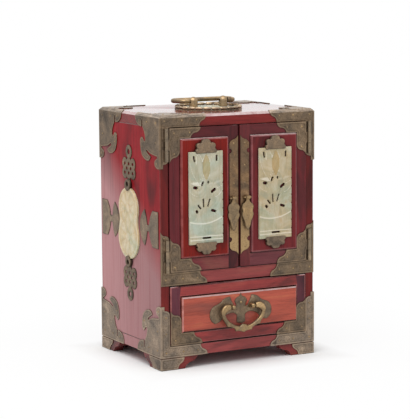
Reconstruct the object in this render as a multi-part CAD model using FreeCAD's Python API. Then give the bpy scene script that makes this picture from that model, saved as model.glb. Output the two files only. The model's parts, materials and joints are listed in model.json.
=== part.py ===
"""Portable cabinet: a small rosewood jewellery cabinet with two doors, a drawer,
brass mounts, jade plaques and a carrying handle.  Millimetres, +Z up, the front faces -Y."""
import FreeCAD, Part
import math
import os

V = FreeCAD.Vector

# Case boards
CASE_WIDTH = 173.0
CASE_DEPTH = 134.0
FOOT_HEIGHT = 12.4
BOTTOM_THICK = 10.9
DRAWER_OPENING = 60.3
DIVIDER_THICK = 12.4
DOOR_OPENING = 141.8
TOP_THICK = 11.4
SIDE_THICK = 9.2
BACK_THICK = 6.0
SHELF_THICK = 5.0
SHELF_HEIGHT = 64.0
TOP_BEVEL = 2.4
TONGUE_THICK = 4.0
TONGUE_DEPTH = 3.0
DADO_DEPTH = 3.0
STOPPED = 6.0
REBATE = 4.0
LINING = 1.0
LINING_EASE = 0.3

# Feet
FOOT_TOP_LENGTH = 40.0
FOOT_BOTTOM_LENGTH = 26.0
FOOT_THICK = 10.0
SHOE_TOP_LENGTH = 25.0
SHOE_BOTTOM_LENGTH = 18.0
SHOE_LIFT = 0.4
SHOE_DROP = 0.7
FOOT_SWELL = 0.3

# Sheet brass mounts
SHEET = 0.8
CASE_ARM = 50.5
CASE_ARM_TAPER = 7.5
ARM_SWELL = 0.35
DIVIDER_ARM = 53.0
DOOR_ARM = 34.0
DOOR_ARM_TAPER = 11.0
DRAWER_ARM = 34.5
DRAWER_ARM_TAPER = 9.0
CLOUD_SIDE = 51.0
CLOUD_TOP = 34.0

# Framed fronts: doors and drawer
FRONT_THICK = 12.0
FACE_PROUD = 1.5
FIELD_RISE = 2.4
FIELD_BEVEL = 1.2
GROOVE_THICK = 4.0
GROOVE_DEPTH = 4.0
PANEL_EASE = 0.3
DOOR_STILE = 11.0
DOOR_TOP_RAIL = 10.2
DOOR_BOTTOM_RAIL = 12.6
DOOR_EDGE_GAP = 0.4
DOOR_END_GAP = 0.6
DOOR_MEETING_GAP = 2.4
STOP_GAP = 0.3

# Door hinges
HINGE_INSET = 3.0
HINGE_PROUD = 2.9
HINGE_LENGTH = 32.0
HINGE_RADIUS = 1.9
KNUCKLE_GAP = 0.3
PIN_RADIUS = 0.9
PIN_CLEARANCE = 0.06

# Door plaques, clips, lock plates and pulls
PLAQUE_WIDTH = 37.0
PLAQUE_HEIGHT = 90.5
PLAQUE_THICK = 2.4
PLAQUE_EYE_RADIUS = 2.3
PLAQUE_SLIT_LENGTH = 10.0
PLAQUE_SLIT_RADIUS = 0.95
PLAQUE_NOTCH_RADIUS = 0.9
PLAQUE_NOTCHES = 8
CLIP_WIDTH = 23.4
CLIP_HEIGHT = 13.4
LOWER_CLIP_HEIGHT = 11.5
CLIP_OVERLAP = 1.5
LOCK_PLATE_WIDTH = 9.6
LOCK_PLATE_HEIGHT = 118.0
LOCK_PLATE_INSET = 0.2
LOCK_PLATE_BITE = 2.5
LOCK_PLATE_POINT = 7.7
LOCK_PLATE_SHOULDER = 5.0
LOCK_PLATE_SWELL = 0.25
STAPLE_OFFSET = 6.7
STAPLE_DROP = 2.5
STAPLE_SPAN = 6.4
STAPLE_RADIUS = 0.9
STAPLE_WEB = 0.5
PULL_EYE_RADIUS = 1.9
PULL_LENGTH = 32.6
PULL_WIDTH = 12.6
PULL_THICK = 1.4
PULL_FIELD_GAP = 0.5

# Drawer
DRAWER_EDGE_GAP = 0.4
DRAWER_TOP_GAP = 1.0
DRAWER_RUN_GAP = 0.2
DRAWER_FRONT_LIFT = 0.7
DRAWER_STILE = 11.5
DRAWER_TOP_RAIL = 11.0
DRAWER_BOTTOM_RAIL = 12.0
DRAWER_SIDE_THICK = 6.5
DRAWER_SIDE_HEIGHT = 50.0
DRAWER_SIDE_GAP = 0.6
DRAWER_BACK_THICK = 6.0
DRAWER_BOTTOM_THICK = 3.0
DRAWER_BOTTOM_LIFT = 3.0
DRAWER_BACK_GAP = 0.8

# Drawer pull
BACKPLATE_HALF_WIDTH = 35.0
BACKPLATE_HEIGHT = 31.0
BAIL_HALF_WIDTH = 25.4
BAIL_DROP = 25.8
BAIL_CURL = 3.6
BAIL_BAR = 4.6
BAIL_THICK = 4.2
BAIL_AXIS_DROP = 14.0
BAIL_STANDOFF = 4.6
BAIL_POST_X = 11.0
BAIL_POST_RADIUS = 2.4
BAIL_PIN_RADIUS = 1.1
POST_SHANK_RADIUS = 1.5
POST_SHANK_LENGTH = 5.0
POST_NOSE = 0.2
BAIL_SIDE_GAP = 0.3

# Top handle
HANDLE_PLATE_RADIUS = 34.0
HANDLE_RIM_WIDTH = 3.6
HANDLE_RIM_HEIGHT = 3.4
HANDLE_DISC_RADIUS = 26.0
HANDLE_DISC_THICK = 1.2
HANDLE_HALF_WIDTH = 34.6
HANDLE_DROP = 22.0
HANDLE_ROUND = 9.0
HANDLE_SHOULDER = 7.0
HANDLE_TAPER = 2.5
HANDLE_BAR = 5.0
HANDLE_THICK = 4.6
HANDLE_REST_GAP = 1.6
HANDLE_POST_X = 17.0
HANDLE_POST_RADIUS = 4.4
HANDLE_PIN_RADIUS = 1.4
HANDLE_SHANK_LENGTH = 8.0
HANDLE_FORWARD = 6.0

# Side ornaments
UPPER_LOBE_RADIUS = 21.0
LOWER_LOBE_RADIUS = 22.4
SIDE_PLAQUE_WAIST = 21.4
SIDE_PLAQUE_HEIGHT = 72.0
SIDE_PLAQUE_CENTRE = 138.0
SIDE_PLAQUE_THICK = 2.4
SIDE_PLAQUE_EASE = 0.4
KNOT_PITCH_ACROSS = 8.7
KNOT_PITCH_UP = 4.6
KNOT_LOBE_RADIUS = 6.1
KNOT_HOLE = 1.5
KNOT_LOOP_RADIUS = 6.8
KNOT_RING_RADIUS = 5.8
KNOT_LOOP_HOLE = 2.4
KNOT_OVERLAP = 3.4
WING_HALF_HEIGHT = 18.0
WING_SHOULDER = 12.4
WING_FLANGE = 20.0
WING_NECK = 3.2
WING_SLIT = 4.0
WING_LENS = 16.0
WING_TIP = 5.4
WING_INSET = 3.6

# Levels and planes worked out from the driving sizes
FLOOR_Z = FOOT_HEIGHT + BOTTOM_THICK
DIVIDER_Z = FLOOR_Z + DRAWER_OPENING
DOOR_Z = DIVIDER_Z + DIVIDER_THICK
UNDER_TOP_Z = DOOR_Z + DOOR_OPENING
TOP_Z = UNDER_TOP_Z + TOP_THICK
HALF_WIDTH = CASE_WIDTH / 2
INNER_X = HALF_WIDTH - SIDE_THICK
FIELD_PROUD = FACE_PROUD + FIELD_RISE
BAIL_PROUD = FIELD_PROUD + SHEET + BAIL_STANDOFF
FRONT_REACH = BAIL_PROUD + max(BAIL_THICK / 2, POST_NOSE + BAIL_POST_RADIUS)
FRONT_Y = -CASE_DEPTH / 2 + (FRONT_REACH - SHEET) / 2
BACK_Y = FRONT_Y + CASE_DEPTH
BACK_INNER_Y = BACK_Y - BACK_THICK
FRONTS_BACK_Y = FRONT_Y - FACE_PROUD + FRONT_THICK
HINGE_X = INNER_X + HINGE_INSET
HINGE_Y = FRONT_Y - HINGE_PROUD
DOOR_X0 = DOOR_MEETING_GAP / 2
DOOR_X1 = INNER_X - DOOR_EDGE_GAP
DOOR_Z0 = DOOR_Z + DOOR_END_GAP
DOOR_Z1 = UNDER_TOP_Z - DOOR_END_GAP
DRAWER_X = INNER_X - DRAWER_EDGE_GAP
DRAWER_Z0 = FLOOR_Z + DRAWER_RUN_GAP
DRAWER_FRONT_Z = DRAWER_Z0 + DRAWER_FRONT_LIFT
DRAWER_Z1 = DIVIDER_Z - DRAWER_TOP_GAP
HANDLE_PLATE_Z = TOP_Z + SHEET
HANDLE_AXIS_Z = HANDLE_PLATE_Z + HANDLE_RIM_HEIGHT + HANDLE_REST_GAP + HANDLE_THICK / 2
CENTRE_Y = (FRONT_Y + BACK_Y) / 2
HANDLE_Y = CENTRE_Y - HANDLE_FORWARD
WRAP = 2 * SHEET
GROOVE_LAND = (FRONT_THICK - GROOVE_THICK) / 2

pieces = {}


# Shape helpers

def box(x0, x1, y0, y1, z0, z1):
    return Part.makeBox(x1 - x0, y1 - y0, z1 - z0, V(x0, y0, z0))


def rod(radius, start, end):
    return Part.makeCylinder(radius, (end - start).Length, start, end - start)


def fuse(shapes):
    whole = shapes[0]
    if len(shapes) > 1:
        whole = whole.multiFuse(shapes[1:])
    return whole.removeSplitter()


def mirror(shape):
    """The same piece on the other side of the cabinet."""
    return shape.mirror(V(0, 0, 0), V(1, 0, 0))


def group(shapes):
    return Part.makeCompound([solid for shape in shapes for solid in shape.Solids])


def wire(outline, place):
    """Closed wire through (a, b) or (a, b, bulge) points.  The bulge bends the run that
    starts there: the tangent of a quarter of its arc, positive to the right of travel."""
    points = [(*point, 0) if len(point) == 2 else point for point in outline]
    edges = []
    for (a0, b0, bulge), (a1, b1, _) in zip(points, points[1:] + points[:1]):
        start = place(a0, b0)
        end = place(a1, b1)
        if start.isEqual(end, 1e-6):
            continue
        if bulge == 0:
            edges.append(Part.LineSegment(start, end).toShape())
        else:
            middle = place((a0 + a1 + bulge * (b1 - b0)) / 2, (b0 + b1 - bulge * (a1 - a0)) / 2)
            edges.append(Part.Arc(start, middle, end).toShape())
    return Part.Wire(edges)


def prism(outline, place, push):
    return Part.Face(wire(outline, place)).extrude(push)


def front_place(proud):
    return lambda x, z: V(x, FRONT_Y - proud, z)


def on_front(outline, proud, thick):
    """A flat piece lying on the front, its back face `proud` of the case."""
    return prism(outline, front_place(proud), V(0, -thick, 0))


def scaled(outline, size, offset=(0, 0)):
    """An outline drawn in unit lengths, brought to size and moved."""
    ready = [(*point, 0) if len(point) == 2 else point for point in outline]
    return [(size[0] * a + offset[0], size[1] * b + offset[1], bulge) for a, b, bulge in ready]


def mirrored_outline(half):
    """Close a right-hand half outline, drawn from its lowest point to its highest, on the axis."""
    points = [(*point, 0) if len(point) == 2 else point for point in half]
    back = []
    for index in range(len(points) - 1, 0, -1):
        a, b, _ = points[index]
        back.append((-a, b, points[index - 1][2]))
    start = points[0]
    whole = points[:-1]
    if points[-1][0] > 0:
        whole = whole + [(points[-1][0], points[-1][1], 0)]
    if start[0] > 0:
        back.append((-start[0], start[1], 0))
    return whole + back


# Outlines of the brass work

def arm_end(outer, inner, swell):
    """The ogee end of a mount's arm, from its outer corner to its inner one."""
    middle = ((outer[0] + inner[0]) / 2, (outer[1] + inner[1]) / 2)
    return [(*outer, swell), (*middle, -swell), (*inner, 0)]


def l_mount(reach_a, reach_b, width_a, width_b, taper, over):
    """An L of two arms from the corner (0, 0): arm a runs along a and is width_a deep."""
    first = arm_end((reach_a, 0), (reach_a - taper, width_a), ARM_SWELL)
    last = arm_end((width_b, reach_b - taper), (0, reach_b), ARM_SWELL)
    return [(-over, -over), (reach_a, -over), *first, (width_b, width_a), *last, (-over, reach_b)]


# Cloud-scroll corner with two curled slits, in unit lengths: its tips lie at (1, 0) and (0, 1)
CLOUD = [
    (1.0, 0.0, 0.3), (0.92, 0.19, 0.15), (0.735, 0.24), (0.727, 0.12, -1.0), (0.69, 0.12),
    (0.685, 0.25, -0.2), (0.575, 0.48, -0.5), (0.625, 0.52, -0.1), (0.7, 0.445, 0.5), (0.79, 0.52, 0.17),
    (0.72, 0.785, 0.2), (0.47, 0.875, 0.3), (0.36, 0.8), (0.52, 0.72, -1.0), (0.505, 0.675, 0.05),
    (0.35, 0.735), (0.185, 0.757), (0.085, 0.765, -0.8), (0.095, 0.81), (0.15, 0.835, 0.45),
    (0.175, 0.95, 0.25), (0.0, 1.0),
]


def cloud_mount(reach, over):
    edge = over / reach
    unit = [(-edge, -edge), (1.0, -edge), *CLOUD, (-edge, 1.0)]
    return scaled(unit, (reach, reach))


# Trefoil clip in unit lengths, half of it: straight foot at 0, rounded crown at 1
CLIP_HALF = [
    (0.0, 0.0), (0.92, 0.0, 0.55), (0.85, 0.32, -0.2), (0.9, 0.5, 0.6), (0.5, 0.72, -0.25),
    (0.4, 0.85, 0.4), (0.0, 1.0),
]

# Half of the drawer pull's backplate, a spread bat, in unit lengths about the bail's pins
BACKPLATE_HALF = [
    (0.0, -0.56, 0.2), (0.14, -0.5), (0.13, -0.3, -0.3), (0.3, -0.2, -0.2), (0.6, -0.36, 0.2),
    (0.83, -0.5, 0.35), (1.0, -0.18, 0.35), (0.79, 0.1, -0.15), (0.57, 0.26, 0.15), (0.34, 0.33, -0.1),
    (0.25, 0.09, -0.45), (0.15, -0.01, -0.2), (0.2, 0.15, 0.35), (0.06, 0.31, -0.2), (0.0, 0.44),
]

# Half of a pull leaf in unit lengths: its neck at 0, its tip at -1
PULL_HALF = [
    (0.0, -1.0, 0.15), (0.52, -0.79, -0.1), (0.74, -0.66), (0.98, -0.55, 0.25), (0.87, -0.41),
    (1.0, -0.31, 0.4), (0.62, -0.15, -0.3), (0.3, 0.0),
]


def bail_outline(half_width, drop, curl, bar, end_x):
    """A C-shaped cast bail hanging from pins at (0, 0), with bat cusps along its lower edge."""
    half_bar = bar / 2
    outer_x = half_width
    inner_x = half_width - bar
    low = -drop
    right = [
        (0.0, low, -0.15), (0.36 * outer_x, 0.93 * low, 0), (0.4 * outer_x, 0.83 * low, -0.1),
        (0.73 * outer_x, 0.73 * low, 0), (0.78 * outer_x, 0.62 * low, 0.15),
        (outer_x, -curl, 0.3), (0.74 * outer_x, curl, 0.2), (end_x, half_bar, 0),
        (end_x, -half_bar, -0.25), (inner_x, -curl - half_bar, -0.2), (0.68 * inner_x, 0.57 * low, -0.15),
        (0.2 * inner_x, 0.74 * low, 0.2), (0.0, 0.66 * low, 0),
    ]
    return mirrored_outline(right)


# Bulge of a quarter circle
QUARTER_TURN = math.tan(math.pi / 8)


def handle_outline(end_x):
    """A stirrup-shaped grip hanging from pins at (0, 0): a straight bar between round shoulders."""
    half_bar = HANDLE_BAR / 2
    outer_x = HANDLE_HALF_WIDTH
    inner_x = outer_x - HANDLE_BAR
    low = -HANDLE_DROP
    shoulder_z = half_bar - HANDLE_SHOULDER
    shoulder_x = outer_x - HANDLE_TAPER - HANDLE_SHOULDER
    right = [
        (0.0, low, 0), (outer_x - HANDLE_ROUND, low, QUARTER_TURN), (outer_x, low + HANDLE_ROUND, 0),
        (outer_x - HANDLE_TAPER, shoulder_z, QUARTER_TURN), (shoulder_x, half_bar, 0),
        (end_x, half_bar, 0), (end_x, -half_bar, 0),
        (shoulder_x, -half_bar, -QUARTER_TURN), (inner_x - HANDLE_TAPER, shoulder_z, 0),
        (inner_x, low + HANDLE_ROUND, -QUARTER_TURN), (outer_x - HANDLE_ROUND, low + HANDLE_BAR, 0),
        (0.0, low + HANDLE_BAR, 0),
    ]
    return mirrored_outline(right)


# Case

def top_board():
    board = box(-HALF_WIDTH, HALF_WIDTH, FRONT_Y, BACK_Y, UNDER_TOP_Z, TOP_Z)
    rim = [edge for edge in board.Edges if all(abs(v.Z - TOP_Z) < 1e-6 for v in edge.Vertexes)]
    return board.makeChamfer(TOP_BEVEL, rim)


def tongue(z0, z1):
    middle = HALF_WIDTH - SIDE_THICK / 2
    return box(middle - TONGUE_THICK / 2, middle + TONGUE_THICK / 2,
               FRONT_Y + STOPPED, BACK_INNER_Y, z0, z1)


def back_panel():
    reach = INNER_X + REBATE
    return box(-reach, reach, BACK_INNER_Y, BACK_Y, FLOOR_Z - REBATE, UNDER_TOP_Z + REBATE)


def shelf_like(front_y, ears_y, z, thick):
    """A board across the case, its ends let into stopped grooves in the sides."""
    board = box(-INNER_X, INNER_X, front_y, BACK_INNER_Y, z, z + thick)
    reach = INNER_X + DADO_DEPTH
    return fuse([board, box(-reach, reach, ears_y, BACK_INNER_Y, z, z + thick)])


def divider_board():
    return shelf_like(FRONT_Y, FRONT_Y + STOPPED, DIVIDER_Z, DIVIDER_THICK)


def compartment_shelf():
    front = FRONTS_BACK_Y + STOP_GAP
    return shelf_like(front, front + STOPPED, DOOR_Z + SHELF_HEIGHT, SHELF_THICK)


def right_side_board():
    board = box(INNER_X, HALF_WIDTH, FRONT_Y, BACK_Y, FLOOR_Z, UNDER_TOP_Z)
    board = fuse([board, tongue(FLOOR_Z - TONGUE_DEPTH, FLOOR_Z + TONGUE_DEPTH),
                  tongue(UNDER_TOP_Z - TONGUE_DEPTH, UNDER_TOP_Z + TONGUE_DEPTH)])
    return board.cut([back_panel(), divider_board(), compartment_shelf()])


def compartment_lining():
    """Silk-covered cards on the floors and the back of the two compartments."""
    x = INNER_X - LINING_EASE
    front = FRONTS_BACK_Y + STOP_GAP + LINING_EASE
    shelf_top = DOOR_Z + SHELF_HEIGHT + SHELF_THICK
    cards = []
    for floor, ceiling in ((DOOR_Z, DOOR_Z + SHELF_HEIGHT), (shelf_top, UNDER_TOP_Z)):
        cards.append(box(-x, x, front, BACK_INNER_Y, floor, floor + LINING))
        cards.append(box(-x, x, BACK_INNER_Y - LINING, BACK_INNER_Y, floor + LINING, ceiling - LINING_EASE))
    return group(cards)


# Feet

def foot_profile(top_length, bottom_length, bottom_z, top_z, over):
    """Corner bracket seen square on: an ogee runs from its toe up to its top."""
    end = arm_end((bottom_length, bottom_z), (top_length, top_z), -FOOT_SWELL)
    return [(-over, bottom_z), *end, (-over, top_z)]


def corner_place(side_y, along):
    """Map (distance from the right-hand corner edge, z) onto the front, the back or the side."""
    sign = 1 if side_y == FRONT_Y else -1
    if along == "x":
        return lambda u, z: V(HALF_WIDTH - u, side_y, z)
    return lambda u, z: V(HALF_WIDTH, side_y + sign * u, z)


def right_foot(side_y):
    inward = V(0, FOOT_THICK if side_y == FRONT_Y else -FOOT_THICK, 0)
    profile = foot_profile(FOOT_TOP_LENGTH, FOOT_BOTTOM_LENGTH, 0, FOOT_HEIGHT, 0)
    across = prism(profile, corner_place(side_y, "x"), inward)
    along = prism(profile, corner_place(side_y, "y"), V(-FOOT_THICK, 0, 0))
    return fuse([across, along])


def right_shoe(side_y):
    """Brass shoe folded round a foot's outer corner."""
    outward = V(0, -SHEET if side_y == FRONT_Y else SHEET, 0)
    top_z = FOOT_HEIGHT - SHOE_DROP
    wrapped = foot_profile(SHOE_TOP_LENGTH, SHOE_BOTTOM_LENGTH, SHOE_LIFT, top_z, SHEET)
    plain = foot_profile(SHOE_TOP_LENGTH, SHOE_BOTTOM_LENGTH, SHOE_LIFT, top_z, 0)
    across = prism(wrapped, corner_place(side_y, "x"), outward)
    along = prism(plain, corner_place(side_y, "y"), V(SHEET, 0, 0))
    return fuse([across, along])


# Corner mounts, cut from a thin skin over the case

def case_skin():
    inner = top_board()
    inner = fuse([inner, box(-HALF_WIDTH, HALF_WIDTH, FRONT_Y, BACK_Y, FOOT_HEIGHT, UNDER_TOP_Z)])
    outer = box(-HALF_WIDTH - SHEET, HALF_WIDTH + SHEET, FRONT_Y - SHEET, BACK_Y + SHEET,
                FOOT_HEIGHT, TOP_Z + SHEET)
    rim = [edge for edge in outer.Edges if all(v.Z > TOP_Z for v in edge.Vertexes)]
    outer = outer.makeChamfer(TOP_BEVEL + SHEET * (2 - math.sqrt(2)), rim)
    return outer.cut(inner)


def right_corner_mount(skin, side_y, at_top):
    """Front or back L, cloud on the side and, at the top, a smaller cloud on the lid."""
    inward = 1 if side_y == FRONT_Y else -1
    z0 = TOP_Z if at_top else FOOT_HEIGHT
    up = -1 if at_top else 1
    rail = TOP_THICK if at_top else BOTTOM_THICK
    depth = TOP_BEVEL + SHEET + WRAP
    flat = l_mount(CASE_ARM, CASE_ARM, rail, SIDE_THICK, CASE_ARM_TAPER, WRAP)
    leaves = [
        prism(flat, lambda u, v: V(HALF_WIDTH - u, side_y - inward * WRAP, z0 + up * v),
              V(0, inward * depth, 0)),
        prism(cloud_mount(CLOUD_SIDE, WRAP),
              lambda u, v: V(HALF_WIDTH + WRAP, side_y + inward * u, z0 + up * v),
              V(-depth, 0, 0)),
    ]
    if at_top:
        lid = cloud_mount(CLOUD_TOP, WRAP)
        leaves.append(prism(lid, lambda u, v: V(HALF_WIDTH - u, side_y + inward * v, TOP_Z + WRAP),
                            V(0, 0, -depth)))
    return skin.common(fuse(leaves))


def right_divider_leaf():
    """L on the front of the divider and the stile above it."""
    outline = l_mount(CASE_ARM, DIVIDER_ARM, DIVIDER_THICK, SIDE_THICK, CASE_ARM_TAPER, 0)
    return prism(outline, lambda u, v: V(HALF_WIDTH - u, FRONT_Y, DIVIDER_Z + v), V(0, -SHEET, 0))


# Hinges: two knuckles on the case's mount, one on the door's

def hinge_spans(z0):
    third = (HINGE_LENGTH - 2 * KNUCKLE_GAP) / 3
    starts = [z0, z0 + third + KNUCKLE_GAP, z0 + 2 * (third + KNUCKLE_GAP)]
    return [(start, start + third) for start in starts]


def on_hinge(z):
    return V(HINGE_X, HINGE_Y, z)


def case_knuckles(mount, z0):
    spans = hinge_spans(z0)
    shapes = [mount]
    for low, high in (spans[0], spans[2]):
        shapes.append(rod(HINGE_RADIUS, on_hinge(low), on_hinge(high)))
        shapes.append(box(HINGE_X, HINGE_X + HINGE_RADIUS, HINGE_Y, FRONT_Y - SHEET / 2, low, high))
    bore = rod(PIN_RADIUS, on_hinge(z0), on_hinge(z0 + HINGE_LENGTH))
    return fuse(shapes).cut(bore)


def door_knuckle(mount, z0):
    low, high = hinge_spans(z0)[1]
    barrel = rod(HINGE_RADIUS, on_hinge(low), on_hinge(high))
    plate_y = FRONT_Y - FACE_PROUD
    arm = box(DOOR_X1 - HINGE_RADIUS, HINGE_X, plate_y - SHEET, plate_y, low, high)
    bore = rod(PIN_RADIUS + PIN_CLEARANCE, on_hinge(low), on_hinge(high))
    return fuse([mount, barrel, arm]).cut(bore)


UPPER_HINGE_Z = DOOR_Z1 - HINGE_LENGTH
LOWER_HINGE_Z = DOOR_Z0


def right_hinge_pins():
    return [rod(PIN_RADIUS, on_hinge(z), on_hinge(z + HINGE_LENGTH)) for z in (UPPER_HINGE_Z, LOWER_HINGE_Z)]


# Framed fronts

def framed_front(x0, x1, z0, z1, stile, top_rail, bottom_rail):
    """Two stiles and two rails grooved for a raised panel; returns the frame and the panel."""
    front = FRONT_Y - FACE_PROUD
    back = front + FRONT_THICK
    in_x0, in_x1 = x0 + stile, x1 - stile
    in_z0, in_z1 = z0 + bottom_rail, z1 - top_rail
    groove_y0 = front + GROOVE_LAND
    groove_y1 = groove_y0 + GROOVE_THICK
    groove = box(in_x0 - GROOVE_DEPTH, in_x1 + GROOVE_DEPTH, groove_y0, groove_y1,
                 in_z0 - GROOVE_DEPTH, in_z1 + GROOVE_DEPTH)
    stiles = [box(x0, in_x0, front, back, z0, z1), box(in_x1, x1, front, back, z0, z1)]
    rails = []
    for low, high in ((z0, in_z0), (in_z1, z1)):
        rail = box(in_x0, in_x1, front, back, low, high)
        stub = box(in_x0 - GROOVE_DEPTH, in_x1 + GROOVE_DEPTH, groove_y0, groove_y1, low, high)
        rails.append(fuse([rail, stub]).cut(groove))
    stiles = [post.cut([groove, *rails]) for post in stiles]
    tongue_plate = box(in_x0 - GROOVE_DEPTH + PANEL_EASE, in_x1 + GROOVE_DEPTH - PANEL_EASE,
                       groove_y0, groove_y1,
                       in_z0 - GROOVE_DEPTH + PANEL_EASE, in_z1 + GROOVE_DEPTH - PANEL_EASE)
    field_y = FRONT_Y - FIELD_PROUD
    field = box(in_x0 + PANEL_EASE, in_x1 - PANEL_EASE, field_y, groove_y1,
                in_z0 + PANEL_EASE, in_z1 - PANEL_EASE)
    rim = [edge for edge in field.Edges if all(abs(v.Y - field_y) < 1e-6 for v in edge.Vertexes)]
    field = field.makeChamfer(FIELD_BEVEL, rim)
    return stiles + rails, fuse([field, tongue_plate])


# Doors

DOOR_FIELD_X = (DOOR_X0 + DOOR_X1) / 2
DOOR_FIELD_Z = (DOOR_Z0 + DOOR_BOTTOM_RAIL + DOOR_Z1 - DOOR_TOP_RAIL) / 2
LOCK_PLATE_X = DOOR_X0 + LOCK_PLATE_INSET
STAPLE_Z = DOOR_FIELD_Z - STAPLE_DROP
STAPLE_PROUD = FIELD_PROUD + PULL_FIELD_GAP + PULL_THICK / 2
STAPLE_INSIDE_Y = FRONT_Y - FACE_PROUD + GROOVE_LAND - STAPLE_WEB

# Pierced eyes of a door plaque: (across, up) in half widths and half heights, then shares of the
# eye radius for the eye's own radius and for half its run, and its lean from upright in degrees
PLAQUE_EYES = [
    (-0.7, 0.85, 0.5, 0.9, 12.0), (0.64, 0.85, 0.5, 0.9, 0.0), (-0.64, 0.23, 0.68, 0.5, 80.0),
    (0.44, 0.15, 0.75, 0.7, -55.0), (-0.55, -0.29, 0.65, 0.2, 40.0), (0.44, -0.29, 0.58, 0.8, 72.0),
    (-0.21, 0.31, 0.5, 0.6, -25.0), (0.13, 0.335, 0.45, 0.2, 0.0),
]
# Pierced slits, placed the same way: share of the length, lean
PLAQUE_SLITS = [
    (-0.16, -0.11, 0.7, 4.0), (0.16, -0.11, 0.65, -18.0), (-0.4, -0.19, 0.4, 40.0), (0.03, -0.87, 0.8, 90.0),
]
PLAQUE_NOTCH_SPAN = (-0.8, 0.5)


def plaque_spot(across, up):
    return DOOR_FIELD_X + across * PLAQUE_WIDTH / 2, DOOR_FIELD_Z + up * PLAQUE_HEIGHT / 2


def slot_outline(across, up, half_run, radius, lean):
    """A slot with two round ends."""
    x, z = plaque_spot(across, up)
    lean_x, lean_z = math.sin(math.radians(-lean)), math.cos(math.radians(lean))
    run_x, run_z = lean_x * half_run, lean_z * half_run
    flank_x, flank_z = lean_z * radius, -lean_x * radius
    return [
        (x - run_x + flank_x, z - run_z + flank_z),
        (x + run_x + flank_x, z + run_z + flank_z, 1.0),
        (x + run_x - flank_x, z + run_z - flank_z),
        (x - run_x - flank_x, z - run_z - flank_z, 1.0),
    ]


def door_plaque_block():
    x0 = DOOR_FIELD_X - PLAQUE_WIDTH / 2
    z0 = DOOR_FIELD_Z - PLAQUE_HEIGHT / 2
    y1 = FRONT_Y - FIELD_PROUD
    return box(x0, x0 + PLAQUE_WIDTH, y1 - PLAQUE_THICK, y1, z0, z0 + PLAQUE_HEIGHT)


def door_plaque():
    y1 = FRONT_Y - FIELD_PROUD
    through = V(0, -PLAQUE_THICK, 0)
    slots = [slot_outline(across, up, run * PLAQUE_EYE_RADIUS, share * PLAQUE_EYE_RADIUS, lean)
             for across, up, share, run, lean in PLAQUE_EYES]
    slots += [slot_outline(across, up, share * PLAQUE_SLIT_LENGTH / 2, PLAQUE_SLIT_RADIUS, lean)
              for across, up, share, lean in PLAQUE_SLITS]
    cuts = [on_front(slot, FIELD_PROUD, PLAQUE_THICK) for slot in slots]
    low, high = PLAQUE_NOTCH_SPAN
    for index in range(PLAQUE_NOTCHES):
        x, z = plaque_spot(1, low + (high - low) * index / (PLAQUE_NOTCHES - 1))
        start = V(x + PLAQUE_NOTCH_RADIUS / 3, y1, z)
        cuts.append(rod(PLAQUE_NOTCH_RADIUS, start, start + through))
    return door_plaque_block().cut(cuts)


def plaque_clips():
    """Trefoil clips that hold the plaque's two ends down on the field."""
    clips = []
    for up, height in ((1, CLIP_HEIGHT), (-1, LOWER_CLIP_HEIGHT)):
        foot = DOOR_FIELD_Z + up * (PLAQUE_HEIGHT / 2 - CLIP_OVERLAP)
        outline = scaled(mirrored_outline(CLIP_HALF), (CLIP_WIDTH / 2, up * height))
        outline = [(a + DOOR_FIELD_X, b + foot, up * bulge) for a, b, bulge in outline]
        clip = on_front(outline, FIELD_PROUD, PLAQUE_THICK + SHEET)
        clips.append(clip.cut(door_plaque_block()))
    return group(clips)


def door_mounts():
    """L mounts on the door's two hinge-side corners, each with its hinge knuckle."""
    mounts = []
    for z, up, rail, hinge_z in ((DOOR_Z1, -1, DOOR_TOP_RAIL, UPPER_HINGE_Z),
                                 (DOOR_Z0, 1, DOOR_BOTTOM_RAIL, LOWER_HINGE_Z)):
        outline = l_mount(DOOR_ARM, DOOR_ARM, rail, DOOR_STILE, DOOR_ARM_TAPER, 0)
        leaf = prism(outline, lambda u, v: V(DOOR_X1 - u, FRONT_Y - FACE_PROUD, z + up * v), V(0, -SHEET, 0))
        mounts.append(door_knuckle(leaf, hinge_z))
    return group(mounts)


def staple():
    """Wire staple driven through the lock plate: two legs and a bar."""
    bar_y = FRONT_Y - STAPLE_PROUD
    x0 = DOOR_X0 + STAPLE_OFFSET - STAPLE_SPAN / 2
    x1 = x0 + STAPLE_SPAN
    legs = [rod(STAPLE_RADIUS, V(x, STAPLE_INSIDE_Y, STAPLE_Z), V(x, bar_y, STAPLE_Z)) for x in (x0, x1)]
    bar = rod(STAPLE_RADIUS, V(x0, bar_y, STAPLE_Z), V(x1, bar_y, STAPLE_Z))
    knees = [Part.makeSphere(STAPLE_RADIUS, V(x, bar_y, STAPLE_Z)) for x in (x0, x1)]
    return fuse(legs + [bar] + knees)


def staple_holes():
    x0 = DOOR_X0 + STAPLE_OFFSET - STAPLE_SPAN / 2
    outside_y = FRONT_Y - FACE_PROUD - SHEET
    return [rod(STAPLE_RADIUS, V(x, STAPLE_INSIDE_Y, STAPLE_Z), V(x, outside_y, STAPLE_Z))
            for x in (x0, x0 + STAPLE_SPAN)]


def lock_plate():
    """Half plate beside the meeting edge: pointed at both ends, a round bite near each."""
    width = LOCK_PLATE_WIDTH
    tip = LOCK_PLATE_HEIGHT / 2
    corner = tip - LOCK_PLATE_POINT
    bite_end = corner - LOCK_PLATE_SHOULDER
    bite_start = bite_end - 2 * LOCK_PLATE_BITE
    lower = arm_end((0, -tip), (width, -corner), -LOCK_PLATE_SWELL)
    upper = arm_end((width, corner), (0, tip), LOCK_PLATE_SWELL)
    bites = [(width, -bite_end, -1.0), (width, -bite_start), (width, bite_start, -1.0), (width, bite_end)]
    outline = lower + bites + upper
    outline = scaled(outline, (1, 1), (LOCK_PLATE_X, DOOR_FIELD_Z))
    return on_front(outline, FACE_PROUD, SHEET).cut(staple_holes())


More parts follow.
